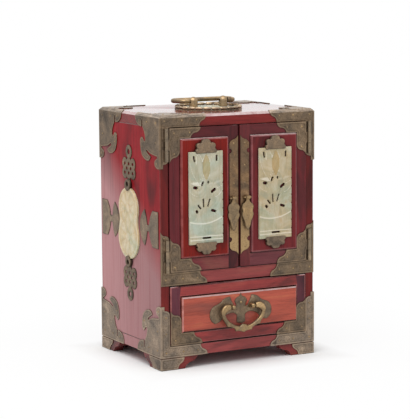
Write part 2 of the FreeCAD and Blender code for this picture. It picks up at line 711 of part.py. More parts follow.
def door_pull():
    """Drop leaf hung from the staple's bar by a rolled eye."""
    x = DOOR_X0 + STAPLE_OFFSET
    bar_y = FRONT_Y - STAPLE_PROUD
    half_eye = STAPLE_SPAN / 2 - STAPLE_RADIUS - 2 * PIN_CLEARANCE
    ends = (V(x - half_eye, bar_y, STAPLE_Z), V(x + half_eye, bar_y, STAPLE_Z))
    outline = scaled(mirrored_outline(PULL_HALF), (PULL_WIDTH / 2, PULL_LENGTH - PULL_EYE_RADIUS / 2),
                     (x, STAPLE_Z - PULL_EYE_RADIUS / 2))
    leaf = on_front(outline, STAPLE_PROUD - PULL_THICK / 2, PULL_THICK)
    bore = rod(STAPLE_RADIUS + PIN_CLEARANCE, *ends)
    return fuse([rod(PULL_EYE_RADIUS, *ends), leaf]).cut(bore)


# Drawer

def drawer_box():
    """Sides, back and bottom board behind the drawer's front."""
    outer = INNER_X - DRAWER_SIDE_GAP
    inner = outer - DRAWER_SIDE_THICK
    back = BACK_INNER_Y - DRAWER_BACK_GAP
    top = DRAWER_Z0 + DRAWER_SIDE_HEIGHT
    floor = DRAWER_Z0 + DRAWER_BOTTOM_LIFT
    let_in = DRAWER_SIDE_THICK / 2
    bottom = box(-inner - let_in, inner + let_in, FRONTS_BACK_Y, back - DRAWER_BACK_THICK / 2,
                 floor, floor + DRAWER_BOTTOM_THICK)
    rear = box(-inner, inner, back - DRAWER_BACK_THICK, back, DRAWER_Z0, top).cut(bottom)
    right = box(inner, outer, FRONTS_BACK_Y, back, DRAWER_Z0, top).cut(bottom)
    wall = (inner - LINING_EASE, back - DRAWER_BACK_THICK - LINING_EASE, FRONTS_BACK_Y + LINING_EASE)
    lining_z = floor + DRAWER_BOTTOM_THICK
    tray = box(-wall[0], wall[0], wall[2], wall[1], lining_z, top - DRAWER_BOTTOM_LIFT)
    hollow = box(-wall[0] + LINING, wall[0] - LINING, wall[2] + LINING, wall[1] - LINING,
                 lining_z + LINING, top)
    return {"drawer_sides": group([right, mirror(right)]), "drawer_back": rear,
            "drawer_bottom": bottom, "drawer_lining": tray.cut(hollow)}


BAIL_Z = DRAWER_Z1 - DRAWER_TOP_RAIL - BAIL_AXIS_DROP


def post_shanks():
    start_y = FRONT_Y - FIELD_PROUD - SHEET
    return [rod(POST_SHANK_RADIUS, V(x, start_y, BAIL_Z), V(x, start_y + SHEET + POST_SHANK_LENGTH, BAIL_Z))
            for x in (-BAIL_POST_X, BAIL_POST_X)]


def drawer_pull_posts():
    """Round posts with a cross hole for the bail's pins and a shank into the panel."""
    foot_y = FRONT_Y - FIELD_PROUD - SHEET
    axis_y = FRONT_Y - BAIL_PROUD
    posts = []
    for x, shank in zip((-BAIL_POST_X, BAIL_POST_X), post_shanks()):
        body = rod(BAIL_POST_RADIUS, V(x, foot_y, BAIL_Z), V(x, axis_y - POST_NOSE, BAIL_Z))
        nose = Part.makeSphere(BAIL_POST_RADIUS, V(x, axis_y - POST_NOSE, BAIL_Z))
        hole = rod(BAIL_PIN_RADIUS + PIN_CLEARANCE, V(x - BAIL_POST_RADIUS, axis_y, BAIL_Z),
                   V(x + BAIL_POST_RADIUS, axis_y, BAIL_Z))
        posts.append(fuse([body, nose, shank]).cut(hole))
    return group(posts)


def drawer_pull_plate():
    outline = scaled(mirrored_outline(BACKPLATE_HALF), (BACKPLATE_HALF_WIDTH, BACKPLATE_HEIGHT), (0, BAIL_Z))
    return on_front(outline, FIELD_PROUD, SHEET).cut(post_shanks())


def bail_with_pins(outline, axis, thick, pin_radius, post_x, post_radius):
    """Cast bail in the plane through its axis, with a pin at each end for its post."""
    body = prism(outline, lambda a, b: axis + V(a, thick / 2, b), V(0, -thick, 0))
    end = post_x + post_radius + BAIL_SIDE_GAP
    pins = [rod(pin_radius, axis + V(side * (post_x - post_radius / 2), 0, 0), axis + V(side * end, 0, 0))
            for side in (-1, 1)]
    return fuse([body] + pins)


def drawer_bail():
    end_x = BAIL_POST_X + BAIL_POST_RADIUS + BAIL_SIDE_GAP
    outline = bail_outline(BAIL_HALF_WIDTH, BAIL_DROP, BAIL_CURL, BAIL_BAR, end_x)
    return bail_with_pins(outline, V(0, FRONT_Y - BAIL_PROUD, BAIL_Z), BAIL_THICK,
                          BAIL_PIN_RADIUS, BAIL_POST_X, BAIL_POST_RADIUS)


def drawer_mounts():
    """L mounts on the drawer front's two lower corners."""
    outline = l_mount(DRAWER_ARM, DRAWER_ARM, DRAWER_BOTTOM_RAIL, DRAWER_STILE, DRAWER_ARM_TAPER, 0)
    right = prism(outline, lambda u, v: V(DRAWER_X - u, FRONT_Y - FACE_PROUD, DRAWER_FRONT_Z + v),
                  V(0, -SHEET, 0))
    return group([right, mirror(right)])


# Top handle

def handle_shanks():
    return [rod(POST_SHANK_RADIUS, V(x, HANDLE_Y, TOP_Z - HANDLE_SHANK_LENGTH),
                V(x, HANDLE_Y, HANDLE_PLATE_Z + HANDLE_DISC_THICK))
            for x in (-HANDLE_POST_X, HANDLE_POST_X)]


def handle_plate():
    """Round plate with a raised rim that the folded handle lies on."""
    centre = V(0, HANDLE_Y, TOP_Z)
    plate = Part.makeCylinder(HANDLE_PLATE_RADIUS, SHEET, centre)
    rim_height = SHEET + HANDLE_RIM_HEIGHT
    rim = Part.makeCylinder(HANDLE_PLATE_RADIUS, rim_height, centre)
    rim = rim.cut(Part.makeCylinder(HANDLE_PLATE_RADIUS - HANDLE_RIM_WIDTH, rim_height, centre))
    return fuse([plate, rim]).cut(handle_shanks())


def handle_disc():
    disc = Part.makeCylinder(HANDLE_DISC_RADIUS, HANDLE_DISC_THICK, V(0, HANDLE_Y, HANDLE_PLATE_Z))
    return disc.cut(handle_shanks())


def handle_posts():
    foot_z = HANDLE_PLATE_Z + HANDLE_DISC_THICK
    posts = []
    for x, shank in zip((-HANDLE_POST_X, HANDLE_POST_X), handle_shanks()):
        body = rod(HANDLE_POST_RADIUS, V(x, HANDLE_Y, foot_z), V(x, HANDLE_Y, HANDLE_AXIS_Z))
        nose = Part.makeSphere(HANDLE_POST_RADIUS, V(x, HANDLE_Y, HANDLE_AXIS_Z))
        hole = rod(HANDLE_PIN_RADIUS + PIN_CLEARANCE, V(x - HANDLE_POST_RADIUS, HANDLE_Y, HANDLE_AXIS_Z),
                   V(x + HANDLE_POST_RADIUS, HANDLE_Y, HANDLE_AXIS_Z))
        posts.append(fuse([body, nose, shank]).cut(hole))
    return group(posts)


def top_handle():
    """The carrying handle, folded back to lie over its plate."""
    outline = handle_outline(HANDLE_POST_X + HANDLE_POST_RADIUS + BAIL_SIDE_GAP)
    axis = V(0, HANDLE_Y, HANDLE_AXIS_Z)
    hanging = bail_with_pins(outline, axis, HANDLE_THICK, HANDLE_PIN_RADIUS,
                             HANDLE_POST_X, HANDLE_POST_RADIUS)
    hanging.rotate(axis, V(1, 0, 0), 90)
    return hanging


# Side ornaments, drawn on the right side

UPPER_LOBE = SIDE_PLAQUE_HEIGHT / 2 - UPPER_LOBE_RADIUS
LOWER_LOBE = LOWER_LOBE_RADIUS - SIDE_PLAQUE_HEIGHT / 2


def side_place(y, inward, z):
    return lambda a, b: V(HALF_WIDTH, y + inward * a, z + b)


def side_disc(y, z, radius, thick):
    return Part.makeCylinder(radius, thick, V(HALF_WIDTH, y, z), V(1, 0, 0))


def side_plaque_shape(ease):
    """A gourd: a smaller lobe over a larger one, run together by a hollow round at the waist."""
    high = UPPER_LOBE_RADIUS + SIDE_PLAQUE_WAIST
    low = LOWER_LOBE_RADIUS + SIDE_PLAQUE_WAIST
    apart = UPPER_LOBE - LOWER_LOBE
    waist_z = (UPPER_LOBE + LOWER_LOBE - (high ** 2 - low ** 2) / apart) / 2
    waist_y = math.sqrt(high ** 2 - (UPPER_LOBE - waist_z) ** 2)
    corners = []
    for lobe, radius, reach in ((LOWER_LOBE, LOWER_LOBE_RADIUS, low), (UPPER_LOBE, UPPER_LOBE_RADIUS, high)):
        share = (radius + ease) / reach
        corners.append((waist_y * share, lobe + (waist_z - lobe) * share))
    (low_y, low_z), (high_y, high_z) = corners
    run = math.hypot(high_y - low_y, high_z - low_z) / 2
    round_radius = SIDE_PLAQUE_WAIST - ease
    dip = (round_radius - math.sqrt(round_radius ** 2 - run ** 2)) / run
    crown = (SIDE_PLAQUE_HEIGHT / 2 + ease - high_z) / high_y
    base = (SIDE_PLAQUE_HEIGHT / 2 + ease + low_z) / low_y
    outline = [(low_y, low_z, -dip), (high_y, high_z, crown), (-high_y, high_z, -dip), (-low_y, low_z, base)]
    return prism(outline, side_place(CENTRE_Y, 1, SIDE_PLAQUE_CENTRE), V(SIDE_PLAQUE_THICK, 0, 0))


def side_knot(up):
    """Endless knot with a loop at its far end and a ring that clips the plaque."""
    half_height = KNOT_PITCH_UP + KNOT_LOBE_RADIUS
    ring_z = SIDE_PLAQUE_HEIGHT / 2 - KNOT_OVERLAP + KNOT_RING_RADIUS
    body_z = ring_z + KNOT_RING_RADIUS + half_height
    loop_z = body_z + half_height + KNOT_LOOP_RADIUS - SHEET
    cells = [(i * KNOT_PITCH_ACROSS, k * KNOT_PITCH_UP) for k in (1, -1) for i in (-1, 0, 1)]
    cells += [(i * KNOT_PITCH_ACROSS / 2, 0) for i in (-1, 1)]

    def disc(a, b, radius, thick):
        return side_disc(CENTRE_Y + a, SIDE_PLAQUE_CENTRE + up * b, radius, thick)

    solids = [disc(a, body_z + b, KNOT_LOBE_RADIUS, SHEET) for a, b in cells]
    solids.append(disc(0, loop_z, KNOT_LOOP_RADIUS, SHEET))
    solids.append(disc(0, ring_z, KNOT_RING_RADIUS, SIDE_PLAQUE_THICK + SHEET))
    solids.append(disc(0, ring_z + KNOT_RING_RADIUS, KNOT_LOOP_HOLE + SHEET, SHEET))
    holes = [disc(a, body_z + b, KNOT_HOLE, SHEET) for a, b in cells]
    holes.append(disc(0, loop_z, KNOT_LOOP_HOLE, SHEET))
    holes.append(disc(0, ring_z + SHEET, KNOT_LOOP_HOLE, SIDE_PLAQUE_THICK + SHEET))
    return fuse(solids).cut(holes + [side_plaque_shape(0)])


def side_wing(side_y):
    """Edge mount: a round flange near the case's edge, a neck and a crescent along the plaque."""
    inward = 1 if side_y == FRONT_Y else -1
    start_y = side_y + inward * WING_INSET
    half = WING_HALF_HEIGHT
    lens_start = WING_FLANGE + WING_SLIT
    lens_end = lens_start + WING_LENS
    tips = lens_start + WING_TIP
    swell = (WING_FLANGE - WING_SHOULDER) / half
    flange = [(0, -half), (WING_SHOULDER, -half, swell), (WING_SHOULDER, half), (0, half)]
    lens = [(tips, -half, (lens_end - tips) / half), (tips, half, WING_TIP / half)]
    neck = [(WING_SHOULDER, -WING_NECK), (tips, -WING_NECK), (tips, WING_NECK), (WING_SHOULDER, WING_NECK)]
    place = side_place(start_y, inward, SIDE_PLAQUE_CENTRE)
    leaves = [prism(outline, place, V(SHEET, 0, 0)) for outline in (flange, lens, neck)]
    return fuse(leaves).cut(side_plaque_shape(SIDE_PLAQUE_EASE))


# Assembly

def both_sides(name, right):
    pieces["right_" + name] = right
    pieces["left_" + name] = mirror(right)


def build_case():
    right_side = right_side_board()
    sides = [right_side, mirror(right_side)]
    shanks = handle_shanks()
    pieces["top_board"] = top_board().cut(sides + [back_panel()] + shanks)
    bottom = box(-HALF_WIDTH, HALF_WIDTH, FRONT_Y, BACK_Y, FOOT_HEIGHT, FLOOR_Z)
    pieces["bottom_board"] = bottom.cut(sides + [back_panel()])
    both_sides("side_board", right_side)
    pieces["back_panel"] = back_panel()
    pieces["divider_board"] = divider_board()
    pieces["compartment_shelf"] = compartment_shelf()
    pieces["compartment_lining"] = compartment_lining()
    shoes = []
    for end, side_y in (("front", FRONT_Y), ("back", BACK_Y)):
        foot = right_foot(side_y)
        pieces[end + "_right_foot"] = foot
        pieces[end + "_left_foot"] = mirror(foot)
        shoes += [right_shoe(side_y), mirror(right_shoe(side_y))]
    pieces["foot_mounts"] = group(shoes)


def build_mounts():
    skin = case_skin()
    for end, side_y in (("front", FRONT_Y), ("back", BACK_Y)):
        for level in ("top", "bottom"):
            mount = right_corner_mount(skin, side_y, level == "top")
            if (end, level) == ("front", "top"):
                mount = case_knuckles(mount, UPPER_HINGE_Z)
            pieces[f"{end}_{level}_right_mount"] = mount
            pieces[f"{end}_{level}_left_mount"] = mirror(mount)
    both_sides("divider_mount", case_knuckles(right_divider_leaf(), LOWER_HINGE_Z))
    pins = right_hinge_pins()
    pieces["hinge_pins"] = group(pins + [mirror(pin) for pin in pins])


def build_side_ornaments():
    both_sides("side_plaque", side_plaque_shape(0))
    knots = [side_knot(1), side_knot(-1)]
    wings = [side_wing(FRONT_Y), side_wing(BACK_Y)]
    pieces["side_knots"] = group(knots + [mirror(knot) for knot in knots])
    pieces["side_wings"] = group(wings + [mirror(wing) for wing in wings])


def build_doors():
    frame, panel = framed_front(DOOR_X0, DOOR_X1, DOOR_Z0, DOOR_Z1,
                                DOOR_STILE, DOOR_TOP_RAIL, DOOR_BOTTOM_RAIL)
    frame[0] = frame[0].cut(staple_holes())
    both_sides("door_frame", group(frame))
    both_sides("door_panel", panel)
    plaque = door_plaque()
    pieces["right_door_plaque"] = plaque
    pieces["left_door_plaque"] = plaque.translated(V(-2 * DOOR_FIELD_X, 0, 0))
    both_sides("plaque_clips", plaque_clips())
    both_sides("door_mounts", door_mounts())
    both_sides("lock_plate", lock_plate())
    both_sides("staple", staple())
    both_sides("door_pull", door_pull())


def build_drawer():
    frame, panel = framed_front(-DRAWER_X, DRAWER_X, DRAWER_FRONT_Z, DRAWER_Z1,
                                DRAWER_STILE, DRAWER_TOP_RAIL, DRAWER_BOTTOM_RAIL)
    pieces["drawer_front_frame"] = group(frame)
    pieces["drawer_front_panel"] = panel.cut(post_shanks())
    pieces.update(drawer_box())
    pieces["drawer_mounts"] = drawer_mounts()
    pieces["drawer_pull_plate"] = drawer_pull_plate()
    pieces["drawer_pull_posts"] = drawer_pull_posts()
    pieces["drawer_bail"] = drawer_bail()


def build_handle():
    pieces["handle_plate"] = handle_plate()
    pieces["handle_disc"] = handle_disc()
    pieces["handle_posts"] = handle_posts()
    pieces["top_handle"] = top_handle()


build_case()
build_mounts()
build_side_ornaments()
build_doors()
build_drawer()
build_handle()

os.makedirs("parts", exist_ok=True)
for name, shape in pieces.items():
    shape.exportStep(f"parts/{name}.step")
    state = "valid" if shape.isValid() else "BAD"
    print(name, len(shape.Solids), "solids", round(shape.Volume, 1), "mm3", state)
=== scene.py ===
"""Portable cabinet: lacquered rosewood, worn brass, carved jade and silk, dressed over its parts."""
import json
import math

import bmesh
import bpy
from bpy.props import FloatProperty, FloatVectorProperty, IntProperty, PointerProperty
from mathutils import Matrix, Vector
from mathutils.bvhtree import BVHTree

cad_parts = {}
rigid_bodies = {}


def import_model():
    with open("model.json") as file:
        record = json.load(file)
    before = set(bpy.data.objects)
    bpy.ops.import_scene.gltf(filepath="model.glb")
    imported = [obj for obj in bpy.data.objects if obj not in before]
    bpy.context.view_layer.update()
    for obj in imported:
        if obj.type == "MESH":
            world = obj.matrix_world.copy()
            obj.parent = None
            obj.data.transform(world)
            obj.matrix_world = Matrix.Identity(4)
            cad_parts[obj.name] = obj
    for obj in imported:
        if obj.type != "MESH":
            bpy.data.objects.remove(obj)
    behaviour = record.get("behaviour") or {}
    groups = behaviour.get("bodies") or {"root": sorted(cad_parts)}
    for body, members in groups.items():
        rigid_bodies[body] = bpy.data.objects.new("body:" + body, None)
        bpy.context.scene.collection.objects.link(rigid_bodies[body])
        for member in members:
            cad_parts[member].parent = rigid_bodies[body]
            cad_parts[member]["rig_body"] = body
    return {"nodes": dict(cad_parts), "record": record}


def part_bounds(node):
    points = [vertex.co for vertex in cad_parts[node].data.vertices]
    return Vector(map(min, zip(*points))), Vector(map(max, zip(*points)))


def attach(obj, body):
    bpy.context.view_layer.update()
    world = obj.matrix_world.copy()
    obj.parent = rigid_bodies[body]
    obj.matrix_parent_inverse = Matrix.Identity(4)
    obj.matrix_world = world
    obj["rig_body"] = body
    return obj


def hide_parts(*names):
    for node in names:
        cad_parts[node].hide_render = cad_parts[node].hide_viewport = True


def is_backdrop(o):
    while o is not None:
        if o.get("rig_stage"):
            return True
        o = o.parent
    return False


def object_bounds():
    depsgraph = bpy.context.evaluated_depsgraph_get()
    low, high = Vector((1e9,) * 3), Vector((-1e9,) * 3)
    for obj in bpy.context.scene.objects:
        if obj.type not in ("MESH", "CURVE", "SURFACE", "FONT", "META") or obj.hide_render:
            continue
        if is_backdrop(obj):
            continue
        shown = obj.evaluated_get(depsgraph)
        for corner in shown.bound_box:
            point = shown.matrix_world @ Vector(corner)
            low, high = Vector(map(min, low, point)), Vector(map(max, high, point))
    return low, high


bl_info = {
    "name": "Portable cabinet",
    "version": (1, 0, 0),
    "blender": (4, 5, 0),
    "location": "3D View > Sidebar > Cabinet",
    "description": "Dresses a rosewood jewellery cabinet with brass, jade and silk",
    "category": "Object",
}

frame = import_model()
cad_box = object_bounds()

MM = 0.001
X, Y, Z = 0, 1, 2
LEFT, RIGHT = Vector((-1, 0, 0)), Vector((1, 0, 0))
FRONT, BACK = Vector((0, -1, 0)), Vector((0, 1, 0))
DOWN, UP = Vector((0, 0, -1)), Vector((0, 0, 1))
SIDES = (("left", -1), ("right", 1))
FULL_TURN = 2 * math.pi
WELD = 1e-6
FLAT = math.radians(0.5)
SHARP = math.radians(35)
# How much of a face's normal lies along an axis: more than LOOKS on a face that looks along it,
# less than SLANTS on a sloping face and less than BESIDE on a wall that stands along it
LOOKS = 0.99
SLANTS = 0.95
BESIDE = 0.3
SLOT_OF = {part["node"]: part["material_slot"] for part in frame["record"]["subparts"]}
IMAGE_HEIGHT = 419
SENSOR = 36.0


# What a user would change

def length(name, description, default):
    return FloatProperty(name=name, description=description, default=default, min=0.0,
                         precision=5, unit="LENGTH")


def colour(name, description, default):
    return FloatVectorProperty(name=name, description=description, default=default, size=3,
                               min=0.0, max=1.0, subtype="COLOR")


def angle(name, description, degrees):
    return FloatProperty(name=name, description=description, default=math.radians(degrees),
                         subtype="ANGLE", unit="ROTATION")


class CabinetSizes(bpy.types.PropertyGroup):
    """Small shapes that dress the cabinet's parts"""
    board_edge: length("Board edge", "Rounding of the case boards' edges", 0.7 * MM)
    front_edge: length("Front edge", "Rounding of the doors' and drawer's frames", 1.3 * MM)
    field_edge: length("Field edge", "Rounding of the raised panels' edges", 1.1 * MM)
    sheet_edge: length("Sheet edge", "Rounding of the sheet brass edges", 0.35 * MM)
    cast_edge: length("Cast edge", "Rounding of posts and staples", 0.2 * MM)
    carving: length("Carving", "Depth of the carving in the jade", 0.7 * MM)
    cell: length("Carving cell", "Spacing of the cuts that carry carved shapes", 0.65 * MM)
    nail: length("Nail radius", "Radius of the mounts' nail heads", 0.95 * MM)
    lining: length("Lining", "Thickness of the silk linings", 0.7 * MM)
    bosses: IntProperty(name="Rim bosses", description="Bosses round the handle plate's rim",
                        default=24, min=3)


class CabinetColours(bpy.types.PropertyGroup):
    """Colours of the cabinet's finishes"""
    red: colour("Red lacquer", "Rosewood of the case", (0.240, 0.017, 0.015))
    side: colour("Side lacquer", "Rosewood of the case's sides", (0.268, 0.012, 0.017))
    # Painted reflection: a pale sheen painted over the lower back of the sides
    painted_sheen: colour("Side haze", "Bloom on the lower part of the sides", (0.430, 0.220, 0.225))
    maroon: colour("Dark lacquer", "Rosewood of the door frames", (0.125, 0.016, 0.020))
    left_field: colour("Left field", "Raised panel of the left door", (0.190, 0.011, 0.007))
    right_field: colour("Right field", "Raised panel of the right door", (0.165, 0.020, 0.022))
    rail: colour("Drawer frame", "Rosewood of the drawer's frame", (0.290, 0.045, 0.042))
    stile: colour("Drawer stiles", "Darker rosewood at the drawer's ends", (0.110, 0.026, 0.038))
    # Partly painted highlight: pale dust and wear laid on edges that look up
    dust: colour("Dust", "Pale dust and wear along edges that look up", (0.480, 0.360, 0.350))
    salmon: colour("Drawer field", "Worn rosewood of the drawer's raised panel", (0.400, 0.085, 0.055))
    drawer_wood: colour("Drawer wood", "Plain wood of the drawer's box", (0.360, 0.190, 0.095))
    brass: colour("Patinated brass", "Sheet brass of the mounts", (0.215, 0.152, 0.097))
    bright: colour("Handled brass", "Brass polished by hands", (0.350, 0.236, 0.118))
    green_jade: colour("Green jade", "Carved jade of the left door", (0.475, 0.450, 0.332))
    cream_jade: colour("Cream jade", "Carved jade of the right door and the sides", (0.490, 0.410, 0.262))
    silk: colour("Silk", "Ground of the silk linings", (0.480, 0.260, 0.085))


class CabinetStage(bpy.types.PropertyGroup):
    """Where the camera stands and how bright the studio is"""
    azimuth: angle("Azimuth", "How far round the camera stands", -28.31)
    elevation: angle("Elevation", "How far above the floor the camera looks from", 7.56)
    roll: angle("Roll", "Tilt of the camera about its view", -0.37)
    distance: length("Distance", "From the camera to the point it looks at", 1.8373)
    aim_x: FloatProperty(name="Aim across", description="Where the camera looks, across the front",
                         default=-1.3 * MM, precision=5, unit="LENGTH")
    aim_z: length("Aim height", "Height of the point that the camera looks at", 145.8 * MM)
    focal: FloatProperty(name="Focal length", description="Focal length in pixels of the picture",
                         default=1803.2, subtype="PIXEL")
    daylight: FloatProperty(name="Daylight", description="Strength of the light from all round",
                            default=0.62, min=0.0, max=1.0, subtype="FACTOR")
    key: FloatProperty(name="Key light", description="Power of the soft light overhead",
                       default=16.0, min=0.0, unit="POWER")


def settings(context):
    return context.scene.cabinet_sizes, context.scene.cabinet_colours


# Finishes

WHITE = (1.0, 1.0, 1.0)
UNMOVED = (0.0, 0.0, 0.0)
# Painted shade: the tone that corners, gaps and hollows are darkened towards
CORNER_SHADE = (0.10, 0.07, 0.06)
CORNER_SHADE_SAMPLES = 6
# How open a corner is where its painted shade is darkest, and where it ends
CORNER_SHADE_RANGE = (0.4, 0.85)


class Shading:
    """The nodes of one material or world."""

    def __init__(self, tree):
        self.nodes = tree.nodes
        self.links = tree.links

    def give(self, socket, value):
        """Set a socket to a constant, or link it."""
        if isinstance(value, bpy.types.NodeSocket):
            self.links.new(value, socket)
        else:
            socket.default_value = value

    def fill(self, node, **values):
        """Give a node's sockets their values; they are named with underscores for spaces."""
        for name, value in values.items():
            self.give(node.inputs[name.replace("_", " ")], value)
        return node

    def add(self, kind, **values):
        return self.fill(self.nodes.new(f"ShaderNode{kind}"), **values)

    def spread(self, value, low, high, to_low=0.0, to_high=1.0):
        """A value moved from one range to another and held at its ends."""
        node = self.add("MapRange", Value=value, From_Min=low, From_Max=high,
                        To_Min=to_low, To_Max=to_high)
        return node.outputs["Result"]

    def combine(self, operation, *values):
        node = self.add("Math")
        node.operation = operation
        for socket, value in zip(node.inputs, values):
            self.give(socket, value)
        return node.outputs["Value"]

    def part(self, vector, axis):
        return self.add("SeparateXYZ", Vector=vector).outputs[axis]

    def seen(self):
        """1 for rays that see the background itself, 0 for those that light the cabinet."""
        rays = self.add("LightPath").outputs
        total = rays["Is Camera Ray"]
        for name in ("Is Glossy Ray", "Is Transmission Ray"):
            total = self.combine("MAXIMUM", total, rays[name])
        return total


class Finish(Shading):
    """One procedural material on Object coordinates."""

    def __init__(self, name):
        self.material = bpy.data.materials.new(name)
        self.material.use_nodes = True
        super().__init__(self.material.node_tree)
        self.shader = self.nodes["Principled BSDF"]
        self.place = self.add("TexCoord").outputs["Object"]

    def look(self, **values):
        self.fill(self.shader, **values)

    def mapped(self, scale, shift=UNMOVED):
        return self.add("Mapping", Location=shift, Scale=scale, Vector=self.place).outputs["Vector"]

    def noise(self, scale, detail, rough, distortion=0.0, shift=UNMOVED):
        """Cloudy pattern; the scale is in turns per metre along each axis."""
        node = self.add("TexNoise", Vector=self.mapped(scale, shift), Scale=1.0, Detail=detail,
                        Roughness=rough, Distortion=distortion)
        return node.outputs["Fac"]

    def cells(self, scale, randomness):
        node = self.add("TexVoronoi", Vector=self.mapped(scale), Scale=1.0, Randomness=randomness)
        return node.outputs["Distance"]

    def along(self, axis):
        return self.part(self.place, axis)

    def facing_up(self):
        return self.part(self.add("NewGeometry").outputs["Normal"], Z)

    def attribute(self, name):
        node = self.add("Attribute")
        node.attribute_name = name
        return node.outputs["Fac"]

    def ramp(self, factor, *stops):
        node = self.add("ValToRGB", Fac=factor)
        points = node.color_ramp.elements
        while len(points) < len(stops):
            points.new(0.5)
        for point, (position, tone) in zip(points, stops):
            point.position = position
            point.color = (*tone, 1.0)
        return node.outputs["Color"]

    def mix(self, mode, amount, under, over):
        node = self.add("Mix")
        node.data_type = "RGBA"
        node.blend_type = mode
        self.give(node.inputs["Factor"], amount)
        sides = [socket for socket in node.inputs if socket.type == "RGBA"]
        for socket, value in zip(sides, (under, over)):
            self.give(socket, value if isinstance(value, bpy.types.NodeSocket) else (*value, 1.0))
        return [socket for socket in node.outputs if socket.type == "RGBA"][0]

    def stained(self, base, amount, pattern, full, tone, clear):
        """Darken by a tone where a pattern is at `full` or less, fading until it is at `clear`."""
        return self.mix("MULTIPLY", amount, base, self.ramp(pattern, (full, tone), (clear, WHITE)))

    def corner_shaded(self, base, reach, depth):
        """Painted shade: darker where the surface lies close in a corner."""
        node = self.add("AmbientOcclusion", Distance=reach)
        node.samples = CORNER_SHADE_SAMPLES
        return self.mix("MULTIPLY", self.spread(node.outputs["AO"], *CORNER_SHADE_RANGE, depth, 0.0), base, CORNER_SHADE)

    def bump(self, height, depth):
        self.look(Normal=self.add("Bump", Distance=depth, Height=height).outputs["Normal"])


def tinted(tone, factors):
    """A tone with each channel made darker or lighter by its own factor."""
    return tuple(min(1.0, channel * factor) for channel, factor in zip(tone, factors))


def shade(tone, factor, grey=0.0):
    """A tone made darker or lighter, and greyer."""
    level = sum(tone) / 3 * factor
    return tuple(min(1.0, channel * factor * (1 - grey) + level * grey) for channel in tone)


def even(turns):
    """The scale of a pattern that is alike along every axis."""
    return (turns, turns, turns)


def grained(grain, across, lengthwise):
    """The scale of a pattern that is drawn out along the grain."""
    scale = [across] * 3
    scale[grain] = lengthwise
    return scale


made = {}


def finish_once(make):
    """Make each finish once; its name stands for one set of values."""
    def ready(name, *values, **named):
        if name not in made:
            made[name] = make(name, *values, **named).material
        return made[name]
    return ready


# Turns per metre of the wood's patterns, across the grain and along it
FIGURE = (28.0, 8.0)
STREAKS = (420.0, 9.0)
PORES = (2300.0, 90.0)
PLAIN_STREAKS = (300.0, 8.0)
# The painted sheen's upper and lower level at the case's middle, how they slope from front to back,
# and the depths between which it grows paler
SHEEN_LEVELS = (0.18, 0.125)
SHEEN_SLOPE = -0.7
SHEEN_DEPTHS = (-0.05, 0.06)


@finish_once
def rosewood(name, tone, grain, gloss=0.33, painted_sheen=None, figured=1.0, grime=(2.0 * MM, 0.8)):
    """Lacquered rosewood with its grain along one axis; a pale painted reflection over its lower back.
    Corner shade is how far from a corner the painted shade reaches, and how dark it is."""
    finish = Finish(name)
    shift = (0.13 * len(name), 0.37 * grain, 0.21 * len(name))
    figure = finish.noise(grained(grain, *FIGURE), 3.0, 0.5, 1.4, shift)
    streaks = finish.noise(grained(grain, *STREAKS), 6.0, 0.65, 0.2, shift)
    pores = finish.noise(grained(grain, *PORES), 2.0, 0.6, 0.0, shift)
    base = finish.ramp(figure, (0.33, shade(tone, 1.0 - 0.5 * figured, 0.15)), (0.46, tone),
                       (0.58, shade(tone, 1.15)), (0.7, tinted(tone, (1.35, 2.0, 1.5))))
    base = finish.stained(base, 0.45, streaks, 0.34, (0.42, 0.38, 0.45), 0.56)
    base = finish.stained(base, 0.35, pores, 0.36, (0.3, 0.25, 0.3), 0.46)
    # Painted reflection: a pale sheen over the lower back part, paler towards the back
    if painted_sheen:
        slope = finish.combine("MULTIPLY", finish.along(Y), SHEEN_SLOPE)
        reach = finish.combine("ADD", finish.along(Z), slope)
        sheen_amount = finish.combine("MULTIPLY", finish.spread(reach, *SHEEN_LEVELS),
                               finish.spread(streaks, 0.25, 0.55, 0.7, 1.0))
        paler = finish.ramp(finish.spread(finish.along(Y), *SHEEN_DEPTHS),
                            (0.0, shade(painted_sheen, 0.8)), (1.0, shade(painted_sheen, 1.13)))
        base = finish.mix("MIX", sheen_amount, base, paler)
    # Painted shade in corners and gaps
    base = finish.corner_shaded(base, *grime)
    finish.look(Base_Color=base, Specular_IOR_Level=0.05 + 0.45 * gloss,
                Roughness=finish.spread(streaks, 0.3, 0.7, 0.36 - 0.12 * gloss, 0.26 - 0.12 * gloss),
                Coat_Weight=max(0.0, 2.0 * gloss - 1.0), Coat_Roughness=0.08)
    finish.bump(streaks, 0.04 * MM)
    return finish


@finish_once
def worn_edge_painted_light(name, tone, dust):
    """Lacquer rubbed thin along an edge, in a lighter tone that is partly a painted highlight.
    Pale dust and a painted highlight where the edge looks up, painted shade where it looks down.
    """
    finish = Finish(name)
    rubs = finish.noise(even(160.0), 5.0, 0.6)
    base = finish.ramp(rubs, (0.35, shade(tone, 0.75)), (0.65, shade(tone, 1.3, 0.15)))
    up = finish.facing_up()
    # Painted highlight, partly dust: bevels that look up turn pale where the rubs allow
    lit = finish.combine("MULTIPLY", finish.spread(up, 0.2, 0.65), finish.spread(rubs, 0.3, 0.6, 0.5, 1.0))
    base = finish.mix("MIX", lit, base, dust)
    # Painted shade: bevels that look down are darkened
    base = finish.mix("MIX", finish.spread(up, -0.2, -0.5), base, shade(tone, 0.08))
    # Painted shade in corners and gaps
    base = finish.corner_shaded(base, 3.5 * MM, 0.95)
    finish.look(Base_Color=base, Roughness=0.32, Specular_IOR_Level=0.35)
    return finish


